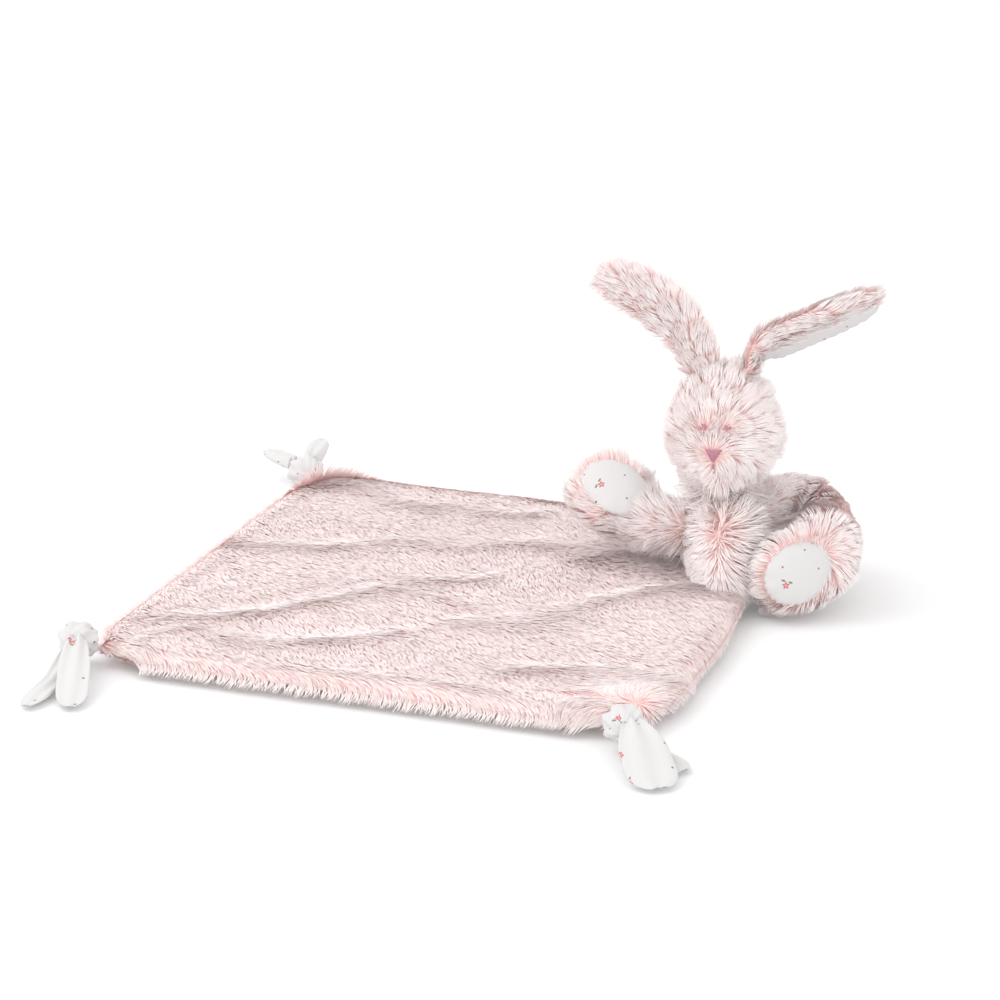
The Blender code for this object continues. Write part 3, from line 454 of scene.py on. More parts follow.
def blanket_mesh(name, crown, low_side):
    """The outer side of one panel: a grid from seam to seam, whose edge rolls over to the seam."""
    mesh = bmesh.new()
    bmesh.ops.create_grid(mesh, x_segments=BLANKET_GRID, y_segments=BLANKET_GRID, size=1.0)
    for vertex in mesh.verts:
        s, t = (sin(pi / 2 * c) * EDGE_CROWDING + c * (1 - EDGE_CROWDING) for c in vertex.co.xy)
        gather = GATHER * step(s + t, 0.7, 2.0)
        corner = 0.0 if s > 0 and t > 0 else CORNER_ROUND * step(abs(s) + abs(t), 1.72, 2.0)
        x = SEAM_HALF * s - gather - (corner if s > 0 else -corner)
        y = SEAM_HALF * t - gather - (corner if t > 0 else -corner)
        inwards = min(SEAM_HALF * (1 - max(abs(s), abs(t))) / ROLLED_EDGE, 1.0)
        full = sqrt(1 - (1 - inwards) ** 2)
        vertex.co = (x, y, full * crown(x, y))
    if low_side:
        bmesh.ops.scale(mesh, verts=mesh.verts, vec=(1, 1, -1))
        bmesh.ops.reverse_faces(mesh, faces=mesh.faces)
    bmesh.ops.translate(mesh, verts=mesh.verts, vec=(0, 0, SEAM_HEIGHT - (2 * SEAM_GAP if low_side else 0)))
    return plain_mesh(name, mesh)


def blanket_edge(x, y, width, slant, drop, front_comb):
    """How near the edge points are, which lie at the front, and how the pile falls over the edge there."""
    sideways = np.abs(x) > np.abs(y)
    outwards = np.stack([np.where(sideways, np.sign(x), slant), np.where(sideways, -slant, np.sign(y)),
                         np.full(len(x), -drop)], -1)
    front = (y < 0) & (np.abs(y) > np.abs(x))
    outwards[front] = front_comb
    return 1 - np.clip((SEAM_HALF - np.maximum(np.abs(x), np.abs(y))) / width, 0, 1), front, outwards


def lay_panel(side, outer):
    """The cloth under a panel's pile: its outer side with a thin wall inside it."""
    name = f"blanket_{side}_cloth"
    cloth = link_up(name, outer.copy())
    wall = cloth.modifiers.new("wall", "SOLIDIFY")
    wall.thickness = CLOTH_THICKNESS
    wall.offset = -1
    cloth = evaluated(cloth, name)
    cloth.data.materials.clear()
    cloth.data.materials.append(SKIN)
    fit(cloth, "blanket", "plush", f"blanket_{side}_panel")


def top_crown(x, y):
    crease = 0.75 + 0.5 * rolling(x, y, CREASE_ROLL_SIZE, 2.0)
    return (TOP_CROWN + ROLLING * rolling(x, y, ROLL_SIZE, 0.4)
            - CREASE_DEPTH * crease * float(creased(x, y, CREASES, CREASE_WIDTH)))


top_mesh = blanket_mesh("blanket_top", top_crown, False)
x, y = places(top_mesh)[:, :2].T
edge, front, outwards = blanket_edge(x, y, ROLLED_EDGE * 0.8, 0.0, 0.55, (-0.55, -0.60, -0.75))
heading = COMB_HEADING + sum(sway * rolling(x, y, size, seed) for sway, size, seed in COMB_SWAYS)
crease = np.maximum(creased(x, y, CREASES, CREASE_WIDTH * 0.8),
                    0.8 * creased(x, y, SMALL_CREASES, SMALL_CREASE_WIDTH))
heading = heading * (1 - 0.75 * crease) + CREASE_HEADING * 0.75 * crease
fan = bell(np.hypot(x - FAN_PLACE[0], y - FAN_PLACE[1]), FAN_SIZE)
heading = heading * (1 - fan) + np.arctan2(y - FAN_PLACE[1], x - FAN_PLACE[0]) * fan
comb = np.stack([np.cos(heading), np.sin(heading), np.zeros(len(x))], -1)
turned = np.where(front, edge ** 5, 0.6 * edge ** 4)[:, None]
comb = comb * (1 - turned) + outwards * turned
crease = crease * (0.65 + 0.35 * rolling(x, y, CREASE_SHADE_SIZE, 0.9))
nook = np.maximum(bell(near_line(x, y, ARM_SHADE), ARM_SHADE_WIDTH),
                  bell(np.hypot(x - ARM_LOOP[0], y - ARM_LOOP[1]) - ARM_LOOP_RADIUS, ARM_LOOP_WIDTH))
tuft = bell(np.hypot(x - TUFT_PLACE[0], y - TUFT_PLACE[1]), TUFT_SIZE)
# Painted shade: the pile is made deeper pink in the creases, along the front edge, and in the nook under the
# left arm and round the chest.
mark(top_mesh, comb, growth=1 + 1.3 * tuft + 0.2 * nook - 0.25 * edge * ~front,
     painted_shade=1.8 * crease + 1.1 * front * edge ** 2 + 0.2 * nook,
     stand=0.10 * crease + 0.55 * tuft - 0.12 * edge + 0.08 * nook, cover=1 + 0.2 * crease)
lay_panel("top", top_mesh)
strips = np.linspace(-SEAM_HALF - CLOTH_THICKNESS, SEAM_HALF + CLOTH_THICKNESS, TOP_STRIPS + 1)
grow_strips("blanket_top_pile", top_mesh, strips, 0, Strands_per_area=0.93e6)


# Blanket back panel
# The same plush, pile side down. It carries the whole weight, so its pile is pressed flat on the floor,
# and only the pile at its edge shows, below the top panel's and in its shade.

BACK_CROWN = 0.0036
BACK_PILE_LENGTH = 0.0095
MIDDLE_COVER = 0.22             # share of strands under the middle, where they are pressed out of sight

back_mesh = blanket_mesh("blanket_back", lambda x, y: BACK_CROWN, True)
x, y = places(back_mesh)[:, :2].T
edge, front, outwards = blanket_edge(x, y, ROLLED_EDGE, 0.3, 0.25, (-0.45, -0.80, -0.35))
# Painted shade: the edge pile, most at the front, is made deeper pink for the top panel's shade over it.
mark(back_mesh, outwards, growth=0.8 + 0.2 * edge, painted_shade=(0.4 + 2.0 * front) * edge,
     cover=MIDDLE_COVER + (1 - MIDDLE_COVER) * ease(edge * 3))
lay_panel("back", back_mesh)
grow_strips("blanket_back_pile", back_mesh, (-1.0, 0.0, 1.0), 20,
            Strands_per_area=0.8e6, Length=BACK_PILE_LENGTH)


# Chest
# A plush dome over the drawn-in corner, filled with fibre and sewn down round its foot. Its pile
# parts down the middle of its front and falls to both sides.

CHEST_PLACE = Vector((0.1208, 0.0665, 0.0217))
CHEST_TURN = radians(22)
CHEST_FOOT, FOOT_SHARE = 0.0090, 0.2
CHEST_SKIN = (0.0150, 0.0368, 0.0300)
CHEST_STEPS, CHEST_SIDES = 26, 48
CHEST_PARTING = radians(-100)
CHEST_TOP = (0.034, 0.046)
CHEST_LOW = (0.030, 0.016)
CHEST_HIDDEN = (0.016, 0.013)   # below this it has little pile, as the blanket's covers it
LONG_PLUSH = pile_finish("long plush pile", (0.97, 0.58, 0.56), (0.99, 0.83, 0.81), (0.998, 0.945, 0.935))


def angles(count):
    return [2 * pi * k / count for k in range(count)]


def through(points, share):
    """A place on the smooth curve through evenly spaced points, which may be numbers or vectors."""
    spans = len(points) - 1
    at = min(max(share, 0.0), 1.0) * spans
    index = min(int(at), spans - 1)
    t = at - index
    start, end = points[index], points[index + 1]
    before = points[index - 1] if index > 0 else 2 * start - end
    after = points[index + 2] if index + 2 <= spans else 2 * end - start
    return 0.5 * (2 * start + (end - before) * t + (2 * before - 5 * start + 4 * end - after) * t * t
                  + (3 * start - before - 3 * end + after) * t * t * t)


def lofted(name, rings):
    """A smooth closed mesh through rings of points, all of one count."""
    mesh = bmesh.new()
    loops = [[mesh.verts.new(point) for point in ring] for ring in rings]
    count = len(loops[0])
    for near, far in zip(loops, loops[1:]):
        for i in range(count):
            j = (i + 1) % count
            mesh.faces.new((near[i], near[j], far[j], far[i]))
    for loop, whole in ((loops[0], True), (loops[-1], False)):
        middle = mesh.verts.new(sum((vertex.co for vertex in loop), Vector()) / count)
        for i in range(count):
            j = (i + 1) % count
            mesh.faces.new((loop[j], loop[i], middle) if whole else (loop[i], loop[j], middle))
    return plain_mesh(name, mesh)


def facing(mesh):
    flat = np.empty(len(mesh.vertices) * 3)
    mesh.vertex_normals.foreach_get("vector", flat)
    return flat.reshape(-1, 3)


def tangled(mesh, seed):
    return np.random.default_rng(seed).normal(size=(len(mesh.vertices), 3))


def stuffed(name, skin_mesh, body, nodes):
    """The cloth of a stuffed piece, which takes the place of its cover and stuffing."""
    cloth = link_up(name, skin_mesh.copy())
    for attribute in ("comb", "growth", "painted_shade", "stand", "cover"):
        cloth.data.attributes.remove(cloth.data.attributes[attribute])
    cloth.data.materials.clear()
    cloth.data.materials.append(SKIN)
    fit(cloth, body, "plush", *nodes)


rings = []
turn = Matrix.Rotation(CHEST_TURN, 3, "Z")
for i in range(CHEST_STEPS + 1):
    share = i / CHEST_STEPS
    angle = pi / 2 * max(share - FOOT_SHARE, 0) / (1 - FOOT_SHARE)
    lift = CHEST_SKIN[2] * sin(angle) if share > FOOT_SHARE else -CHEST_FOOT * (1 - share / FOOT_SHARE)
    wide = max(cos(angle), 0.03)
    half_x, half_y = CHEST_SKIN[0] * wide, CHEST_SKIN[1] * wide
    rings.append([CHEST_PLACE + turn @ Vector((half_x * cos(a), half_y * sin(a), lift))
                  for a in angles(CHEST_SIDES)])
chest_mesh = lofted("chest", rings)
co, out = places(chest_mesh), facing(chest_mesh)
around = np.arctan2(out[:, 1], out[:, 0]) - CHEST_PARTING
sideways = np.stack([-out[:, 1], out[:, 0], np.zeros(len(co))], -1) * np.sin(around)[:, None] * 1.2
comb = sideways + np.array((0, 0, -0.75)) + out * 0.2
top = step(co[:, 2], *CHEST_TOP)
comb += tangled(chest_mesh, 31) * top[:, None] * 0.8
low = step(co[:, 2], *CHEST_LOW)
inside = step(out[:, 0], 0.2, 0.8)
# Painted shade: the pile is made deeper pink low down, on the side in the right arm's loop, and among the
# tangles at the top.
mark(chest_mesh, comb, growth=0.85 + 0.2 * np.sin(around) ** 2 + 0.75 * inside + 0.45 * top,
     painted_shade=0.5 * low + 2.0 * inside + 0.6 * top, stand=0.25 * top + 0.15 * inside,
     cover=1 - 0.75 * step(co[:, 2], *CHEST_HIDDEN))
stuffed("chest", chest_mesh, "blanket", ("chest_cover", "chest_stuffing"))
grow("chest_pile", chest_mesh, "blanket", LONG_PLUSH, Seed=31, Strands_per_area=1.2e6, Length=0.0130,
     Tuft_pull=0.35, Tousle=1.5, Tufts_per_length=125.0, Lean_at_root=radians(55), Lean_at_tip=radians(90))


# Neck
# A short plush tube gathered with a thread between chest and head, so that its pile stands out as a ruff.

NECK_PLACE = Vector((0.1208, 0.0725, 0.0526))
NECK_SKIN_RADIUS, NECK_WAIST_SHARE = 0.0098, 0.62
NECK_SKIN_HEIGHT, NECK_HALF_TURN = 0.0120, 1.25
NECK_FOLDS, NECK_FOLD_SHARE = 9, 0.05
NECK_STEPS, NECK_SIDES = 20, 54
RUFF_LENGTH = 0.0240


def grow_shaggy(name, skin_mesh, body, **values):
    """Grow the longer, tousled pile of the neck, head, ears and arms."""
    shaggy = {"Length": 0.0135, "Width": 0.00052, "Tousle": 1.8, "Tufts_per_length": 125.0, "Tuft_pull": 0.4,
              "Stray": 0.7, "Patchiness": 0.3, "Lean_at_root": radians(45), "Lean_at_tip": radians(86)}
    grow(name, skin_mesh, body, LONG_PLUSH, **(shaggy | values))


rings = []
for i in range(NECK_STEPS + 1):
    angle = -NECK_HALF_TURN + 2 * NECK_HALF_TURN * i / NECK_STEPS
    wide = NECK_SKIN_RADIUS * (NECK_WAIST_SHARE + (1 - NECK_WAIST_SHARE) * cos(angle) ** 0.5)
    folded = [(a, wide * (1 + NECK_FOLD_SHARE * cos(NECK_FOLDS * a))) for a in angles(NECK_SIDES)]
    rings.append([NECK_PLACE + Vector((radius * cos(a), radius * sin(a), NECK_SKIN_HEIGHT * sin(angle)))
                  for a, radius in folded])
neck_mesh = lofted("neck", rings)
# Painted shade: the whole ruff is made deeper pink, for the shade under the head.
mark(neck_mesh, tangled(neck_mesh, 32) * 0.6 + np.array((0, 0, -0.6)), painted_shade=1.9, stand=0.50)
stuffed("neck_tube", neck_mesh, "neck", ("neck",))
grow_shaggy("neck_pile", neck_mesh, "neck", Seed=32, Length=RUFF_LENGTH, Stray=1.4, Strands_per_area=1.3e6)


# Head
# A stuffed plush ball, sewn and turned. Its pile is brushed away from the nose in all directions,
# shorter over the muzzle and round the eyes.

HEAD_TURN = radians(8)
HEAD_HALF = (0.0325, 0.0335, 0.0365)
HEAD_RISE = 0.0385
HEAD_PILE_DEPTH, FACE_PILE_DEPTH = 0.0062, 0.0013
CHEEK = (0.045, -0.28, 0.42)
MUZZLE = (0.0040, -0.22, 0.36)
EYE_ACROSS, EYE_RISE = 0.0063, 0.0096
NOSE_DROP = 0.0050
MOUTH_DROPS = (0.0095, 0.0230)
EYE_SPREAD, NOSE_SPREAD, MOUTH_SPREAD = 0.0050, 0.0075, 0.0055
MOUTH_SPOTS = (0.010, 0.014, 0.018, 0.022)
SHORT_BY_NOSE, SHORT_BY_EYE = 0.0085, 0.0045
BARE_NOSE, BARE_EYE = 0.0040, 0.0014
EYE_SHADE = (0.004, 0.003)
HEAD_LOW = (0.074, 0.060)
CROWN_HEIGHT, CROWN_WIDTH, CROWN_BACK = 0.119, 0.006, 0.070
HEAD_FRAME = Matrix.Translation(NECK_PLACE) @ Matrix.Rotation(HEAD_TURN, 4, "Z")


def head_point(direction, wall):
    """A point of the head in its own frame, which looks along -Y, a wall's depth inside the pile."""
    cheek = CHEEK[0] * bell(direction.z - CHEEK[1], CHEEK[2])
    nose = Vector((0, -1, MUZZLE[1])).normalized()
    muzzle = MUZZLE[0] * bell(nose.angle(direction), MUZZLE[2])
    return Vector(((HEAD_HALF[0] - wall) * (1 + cheek) * direction.x,
                   (HEAD_HALF[1] - wall) * direction.y - muzzle * abs(direction.y),
                   (HEAD_HALF[2] - wall) * direction.z + HEAD_RISE))


def face_place(across, rise):
    x, z = across / HEAD_HALF[0], rise / HEAD_HALF[2]
    return head_point(Vector((x, -sqrt(1 - x * x - z * z), z)), 0.0)


def near_face(point, across, rise, spread):
    """How near a point of the head is to a feature of the face, from 0 to 1."""
    return bell((point - face_place(across, rise)).length, spread)


mesh = bmesh.new()
bmesh.ops.create_icosphere(mesh, subdivisions=6, radius=1.0)
for vertex in mesh.verts:
    direction = vertex.co.normalized()
    full = head_point(direction, 0.0)
    raised = max(near_face(full, 0.0, -NOSE_DROP, NOSE_SPREAD),
                 *(0.9 * near_face(full, side * EYE_ACROSS, EYE_RISE, EYE_SPREAD) for side in (1, -1)),
                 *(0.93 * near_face(full, 0.0, -drop, MOUTH_SPREAD) for drop in MOUTH_SPOTS))
    wall = HEAD_PILE_DEPTH - (HEAD_PILE_DEPTH - FACE_PILE_DEPTH) * raised
    vertex.co = HEAD_FRAME @ head_point(direction, wall)
head_mesh = plain_mesh("head", mesh)
co = places(head_mesh)
nose_spot = np.array(HEAD_FRAME @ face_place(0.0, -NOSE_DROP))
eye_spots = [np.array(HEAD_FRAME @ face_place(side * EYE_ACROSS, EYE_RISE)) for side in (-1, 1)]
comb = co - nose_spot
to_nose = np.linalg.norm(comb, axis=1)
to_eye = np.minimum(*(np.linalg.norm(co - spot, axis=1) for spot in eye_spots))
behind = step(co[:, 1], NECK_PLACE.y, NECK_PLACE.y + 0.02)
comb = comb / to_nose[:, None] * (1 - behind)[:, None] + np.array((0, 0, -1.0)) * behind[:, None]
growth = 1 - 0.5 * bell(to_nose, SHORT_BY_NOSE) - 0.4 * bell(to_eye, SHORT_BY_EYE)
cover = 1 - 1.3 * bell(to_nose, BARE_NOSE, 4) - 1.1 * bell(to_eye, BARE_EYE, 4)
beside = bell(to_eye - EYE_SHADE[0], EYE_SHADE[1])
low = step(co[:, 2], *HEAD_LOW)
crown = bell(co[:, 2] - CROWN_HEIGHT, CROWN_WIDTH) * (co[:, 1] < CROWN_BACK)
comb += tangled(head_mesh, 33) * (0.35 * low + 0.3 * crown)[:, None]
# Painted shade: the pile is made deeper pink on the lower head, along the crown's parting and in a ring round
# each eye.
mark(head_mesh, comb, growth=growth + 0.55 * low, cover=np.clip(cover, 0, 1),
     painted_shade=1.1 * low + 1.1 * crown + 0.8 * beside, stand=0.3 * crown + 0.35 * low)
stuffed("head", head_mesh, "head", ("head_cover", "head_stuffing"))
grow_shaggy("head_pile", head_mesh, "head", Seed=33, Length=0.0130, Strands_per_area=1.25e6)


# Face
# Eyes and nose are embroidered in satin stitch with rose thread, and one long stitch falls from the nose.

THREAD_RADIUS = 0.00042
EYE_HALF = (0.0019, 0.0014, 0.0014)
EYE_STITCHES, EYE_POINTS, EYE_SINK = 7, 9, 0.0008
NOSE_HALF_WIDTH, NOSE_HALF_HEIGHT = 0.0038, 0.0040
NOSE_STITCHES, NOSE_POINTS, NOSE_SINK, NOSE_ARCH = 11, 11, 0.0010, 0.0022
MOUTH_POINTS, MOUTH_TWIST, MOUTH_TWIST_STEP = 41, 0.00035, 0.8
MOUTH_STAND, MOUTH_END_SINK = 0.0006, 0.0016


def thread_finish(name, colour, strand_scale):
    """Embroidery thread, whose twist shows as fine slanting lines."""
    material, tree, shader = finish_tree(name, 0.5, Sheen_Weight=0.3)
    place = tree.add("ShaderNodeTexCoord", (), (), "Object")
    lines = tree.add("ShaderNodeTexWave", {"bands_direction": "DIAGONAL"},
                     {"Vector": place, "Scale": strand_scale, "Distortion": 1.0, "Detail": 1}, "Fac")
    tree.mix(lines, tuple(c * 0.62 for c in colour), colour).feed(shader, "Base Color")
    tree.bump(shader, lines, 0.5, 0.0001)
    return material


ROSE_THREAD = thread_finish("rose thread", (0.66, 0.28, 0.37), 700)
GREY_THREAD = thread_finish("grey rose thread", (0.50, 0.32, 0.31), 900)


def oval_ring(centre, side, out, wide, thick, count):
    return [centre + side * (wide * cos(a)) + out * (thick * sin(a)) for a in angles(count)]


def frames_along(centres, side):
    """Directions along, across and out of a route, carried along it without twisting."""
    frames = []
    for index, centre in enumerate(centres):
        along = (centres[min(index + 1, len(centres) - 1)] - centres[max(index - 1, 0)]).normalized()
        side = (side - along * side.dot(along)).normalized()
        frames.append((centre, along, side, along.cross(side)))
    return frames


def stitches(name, routes, radius, finish, node):
    """Stitches along routes on the face, each spot of them with a shift, as one mesh of round-ended tubes."""
    mesh = bmesh.new()
    for route in routes:
        spots = [HEAD_FRAME @ (face_place(across, rise) + Vector(shift)) for across, rise, shift in route]
        rings = []
        for i, (centre, along, side, out) in enumerate(frames_along(spots, Vector((1, 0, 0)))):
            end = min(i, len(spots) - 1 - i) / 2.0
            reach = radius * min(1.0, sqrt(0.12 + end))
            rings.append(oval_ring(centre, side, out, reach, reach, 8))
        mesh.from_mesh(lofted(name, rings))
    piece = link_up(name, plain_mesh(name, mesh))
    piece.data.materials.append(finish)
    fit(piece, "head", "thread", node)


for name, side in (("left_eye", -1), ("right_eye", 1)):
    routes = []
    for k in range(EYE_STITCHES):
        row = k / (EYE_STITCHES // 2) - 1
        rise = EYE_RISE + EYE_HALF[2] * row * 0.82
        reach = EYE_HALF[0] * sqrt(1 - row ** 2 * 0.7)
        routes.append([(side * EYE_ACROSS + reach * share, rise,
                        (0, EYE_SINK - EYE_HALF[1] * (1 - share ** 2) * 0.8, 0))
                       for share in np.linspace(-1, 1, EYE_POINTS).tolist()])
    stitches(name + "_stitches", routes, THREAD_RADIUS, ROSE_THREAD, name)

routes = []
for k in range(NOSE_STITCHES):
    across = 2 * k / (NOSE_STITCHES - 1) - 1
    top = NOSE_HALF_HEIGHT * (1 - 0.10 * across ** 2)
    foot = -NOSE_HALF_HEIGHT + 2 * NOSE_HALF_HEIGHT * abs(across) ** 1.15 * 0.86
    routes.append([])
    for j in range(NOSE_POINTS):
        share = j / (NOSE_POINTS - 1)
        arch = NOSE_ARCH * sin(pi * share) ** 0.5 * (1 - 0.5 * across ** 2)
        routes[-1].append((NOSE_HALF_WIDTH * across, -NOSE_DROP + foot + (top - foot) * share,
                           (0, NOSE_SINK - arch, 0)))
stitches("nose_stitches", routes, THREAD_RADIUS * 1.05, ROSE_THREAD, "nose")

routes = []
for phase in (0, pi):
    routes.append([])
    for j in range(MOUTH_POINTS):
        share = j / (MOUTH_POINTS - 1)
        turn = phase + j * MOUTH_TWIST_STEP
        ends = MOUTH_END_SINK * (2 * share - 1) ** 8
        routes[-1].append((0.0, -(MOUTH_DROPS[0] + (MOUTH_DROPS[1] - MOUTH_DROPS[0]) * share),
                           (MOUTH_TWIST * cos(turn), -MOUTH_STAND + MOUTH_TWIST * sin(turn) + ends, 0)))
stitches("mouth_thread", routes, THREAD_RADIUS, GREY_THREAD, "mouth_stitch")


# Ears
# Each ear is a plush back sewn to a lining of printed cotton, turned, and set into the head's top seam.
# The left ear's lining looks away from the viewer; the right ear shows its own below the fur's edge.

EAR_WIDTHS = (0.0, 0.30, 0.80, 1.00, 1.00, 0.92, 0.50)
EAR_HALF_ROOT, EAR_HALF_GAIN, EAR_TIP_LOSS = 0.0105, 0.0035, 0.0020
EAR_ROOT_HALF = (0.008, 0.003)
EAR_ROOT_DEPTHS = (0.0055, 0.0028)
EAR_SWELL = (0.0055, 0.0020, 0.0030)
EAR_FLAT_ROOT, EAR_FLAT, EAR_FLAT_SHARE = 0.0055, 0.0012, 0.24
EAR_ROLLED_RIM = 0.0034
EAR_STEPS, EAR_SIDES = 44, 32
EAR_SKIN_WIDTH_SHARE = 0.86
LINING_FROM, LINING_TO = 0.15, 0.985
LINING_COLUMNS, LINING_WIDTH_SHARE, LINING_GAP = 24, 0.80, 0.0003
LINING_THICKNESS, LINING_PUFF, LINING_PUCKER, PUCKERS_PER_METRE = 0.0005, 0.0007, 0.00035, 2400


def cotton_finish():
    """White cotton with a fine plain weave and a sparse print of tiny blossoms and grey dots."""
    material, tree, shader = finish_tree("printed cotton", 0.8, Sheen_Weight=0.15)
    cloth = tree.add("ShaderNodeUVMap", {"uv_map": "cloth"})
    cells = tree.add("ShaderNodeTexVoronoi", {"voronoi_dimensions": "2D"},
                     {"Vector": cloth, "Scale": 70, "Randomness": 0.55}, "Position")
    luck = cells.beside("Color")
    turned = tree.add("ShaderNodeVectorRotate", {"rotation_type": "Z_AXIS"},
                      {"Vector": (cloth - cells) * 640.0, "Angle": luck.part("Y") * 6.28})
    x, y = turned.part("X"), turned.part("Y")
    radius = (x * x + y * y).call("SQRT")
    petals = ((y.call("ARCTAN2", x) * 5.0).call("COSINE") * 0.30 + 1.05) - radius
    leaf_x = (x.call("ABSOLUTE") - 1.25) * 0.9
    leaf_y = (y + 1.35) * 1.9
    leaf = 0.75 - (leaf_x * leaf_x + leaf_y * leaf_y).call("SQRT")
    blossom_luck = luck.part("X").call("GREATER_THAN", 0.68)
    colour = (0.73, 0.71, 0.71)
    for shape, sharpness, wanted, ink in ((leaf, 7.0, blossom_luck, (0.24, 0.26, 0.14)),
                                          (petals, 6.0, blossom_luck, (0.62, 0.16, 0.24)),
                                          (0.42 - radius, 8.0, blossom_luck, (0.75, 0.55, 0.30)),
                                          (0.40 - radius, 9.0, 1.0 - blossom_luck, (0.20, 0.19, 0.20))):
        colour = tree.mix((shape * sharpness).clamp() * wanted, colour, ink)
    colour.feed(shader, "Base Color")
    weave = (cloth.part("X") * 9000.0).call("SINE") * (cloth.part("Y") * 9000.0).call("SINE")
    tree.bump(shader, weave, 0.25, 0.0001)
    return material


COTTON = cotton_finish()


def lay_print(mesh, spots):
    """Give a mesh its cloth map, where spots holds each point's place on the flat cloth in metres."""
    layer = mesh.uv_layers.new(name="cloth")
    corners = np.empty(len(mesh.loops), np.int32)
    mesh.loops.foreach_get("vertex_index", corners)
    layer.data.foreach_set("uv", np.asarray(spots, np.float32)[corners].ravel())
    mesh.materials.append(COTTON)


def cloth_strip(name, near, far, spots):
    """A thin closed panel between two grids of points with the same rows and columns."""
    mesh = bmesh.new()
    rows, columns = len(near), len(near[0])
    grids = [[[mesh.verts.new(point) for point in row] for row in grid] for grid in (near, far)]
    for grid, whole in zip(grids, (False, True)):
        for i in range(rows - 1):
            for j in range(columns - 1):
                corners = (grid[i][j], grid[i + 1][j], grid[i + 1][j + 1], grid[i][j + 1])
                mesh.faces.new(corners if whole else reversed(corners))
    rim = ([(0, j) for j in range(columns)] + [(i, columns - 1) for i in range(1, rows)]
           + [(rows - 1, j) for j in range(columns - 2, -1, -1)] + [(i, 0) for i in range(rows - 2, 0, -1)])
    for (i, j), (m, n) in zip(rim, rim[1:] + rim[:1]):
        mesh.faces.new((grids[0][i][j], grids[1][i][j], grids[1][m][n], grids[0][m][n]))
    bmesh.ops.recalc_face_normals(mesh, faces=mesh.faces)
    data = plain_mesh(name, mesh)
    lay_print(data, [spot for grid in (0, 1) for row in spots for spot in row])
    return link_up(name, data)


def rounded_tip(share, start, run):
    return sqrt(max(1 - max((share - start) / run, 0.0) ** 2, 0.0))


def make_ear(name, root, length, rolls, seed, breadth, route):
    turn = Matrix.Rotation(HEAD_TURN, 3, "Z")
    points = [root + turn @ (Vector(place) * length) for place in route]
    centres = [through(points, i / EAR_STEPS) for i in range(EAR_STEPS + 1)]
    first_roll, last_roll = rolls
    rings, near, far, spots, combs = [], [], [], [], []
    run = 0.0
    for i, (centre, along, side, out) in enumerate(frames_along(centres, turn @ Vector((0, 1, 0)))):
        share = i / EAR_STEPS
        roll = Matrix.Rotation(first_roll + (last_roll - first_roll) * ease(share / 0.35), 3, along)
        side, out = roll @ side, roll @ out
        tip = rounded_tip(share, 0.86, 0.16)
        half = EAR_HALF_ROOT + EAR_HALF_GAIN * through(EAR_WIDTHS, share)
        half = (half - EAR_TIP_LOSS * step(share, 0.6, 1.0)) * breadth
        swell = EAR_SWELL[0] + EAR_SWELL[1] * ease(2 * share)
        flat = EAR_FLAT_ROOT + (EAR_FLAT - EAR_FLAT_ROOT) * ease(share / EAR_FLAT_SHARE)
        run += length / EAR_STEPS
        if i == 0:
            for depth in EAR_ROOT_DEPTHS:
                rings.append(oval_ring(centre - along * depth, side, out, *EAR_ROOT_HALF, EAR_SIDES))
                combs += [(*along, share, 1.0, 0.0)] * EAR_SIDES
        ring = []
        rolled = (1 if side.z > 0 else -1) if name == "right" else 0
        for a in angles(EAR_SIDES):
            behind, up = sin(a) > 0, rolled * cos(a)
            thick = (swell - EAR_SWELL[2]) if behind else flat * (0.6 if share < EAR_FLAT_SHARE else 0.9)
            upper = step(up, 0.30, 0.55) if share > 0.2 and sin(a) < 0 else 0.0
            thick += EAR_ROLLED_RIM * upper
            wide = half * EAR_SKIN_WIDTH_SHARE * tip
            ring.append(centre + side * (wide * cos(a)) + out * (thick * tip * sin(a)))
            lower = step(-up, -0.1, 0.2) * step(share, 0.07, 0.13)
            seam = bell(up - 0.36, 0.12) if sin(a) < 0 and rolled else 0.0
            sideways = (cos(a) + 1.2 * lower * rolled) * 0.45 + 1.2 * seam * rolled
            combs.append((*(along * 0.9 + side * sideways), share, max(sin(a), upper) - 0.75 * lower,
                          max(seam, 0.5 * (share < 0.2))))
        rings.append(ring)
        if LINING_FROM <= share <= LINING_TO:
            inner, outer, marks = [], [], []
            for k in range(LINING_COLUMNS + 1):
                across = 2 * k / LINING_COLUMNS - 1
                reach = half * LINING_WIDTH_SHARE * tip * across
                rim = 1 - across ** 4
                depth = flat * tip * sqrt(1 - (LINING_WIDTH_SHARE * across) ** 2) + LINING_GAP
                pucker = LINING_PUCKER * sin(run * PUCKERS_PER_METRE + 2.5 * across) * (1 - 0.8 * rim)
                inner.append(centre + side * reach - out * depth * 0.9)
                raised = depth + LINING_THICKNESS + LINING_PUFF * rim + pucker
                outer.append(centre + side * reach - out * raised)
                marks.append((reach + 0.05 * seed, run))
            near.append(inner)
            far.append(outer)
            spots.append(marks)
    body = name + "_ear"
    skin_mesh = lofted(body, rings)
    combs = np.array(combs + [combs[0], combs[-1]])
    share, fur, seam = combs[:, 3], combs[:, 4], combs[:, 5]
    # Painted shade: the pile is made deeper pink along the right ear's seam, where the fur parts, and at the
    # root, where the ear meets the head.
    mark(skin_mesh, combs[:, :3], cover=np.where(share < 0.10, 1.0, step(fur, -0.35, -0.10)),
         growth=0.98 - 0.1 * share - 0.4 * seam, painted_shade=0.8 * seam)
    stuffed(body + "_plush", skin_mesh, body, (body + "_back",))
    grow_shaggy(body + "_pile", skin_mesh, body, Seed=seed, Length=0.0125, Strands_per_area=1.35e6,
                Lean_at_root=radians(58), Lean_at_tip=radians(88), Tousle=1.5)
    lining = cloth_strip(body + "_cotton", near, far, spots)
    fit(lining, body, "cotton", body + "_lining")


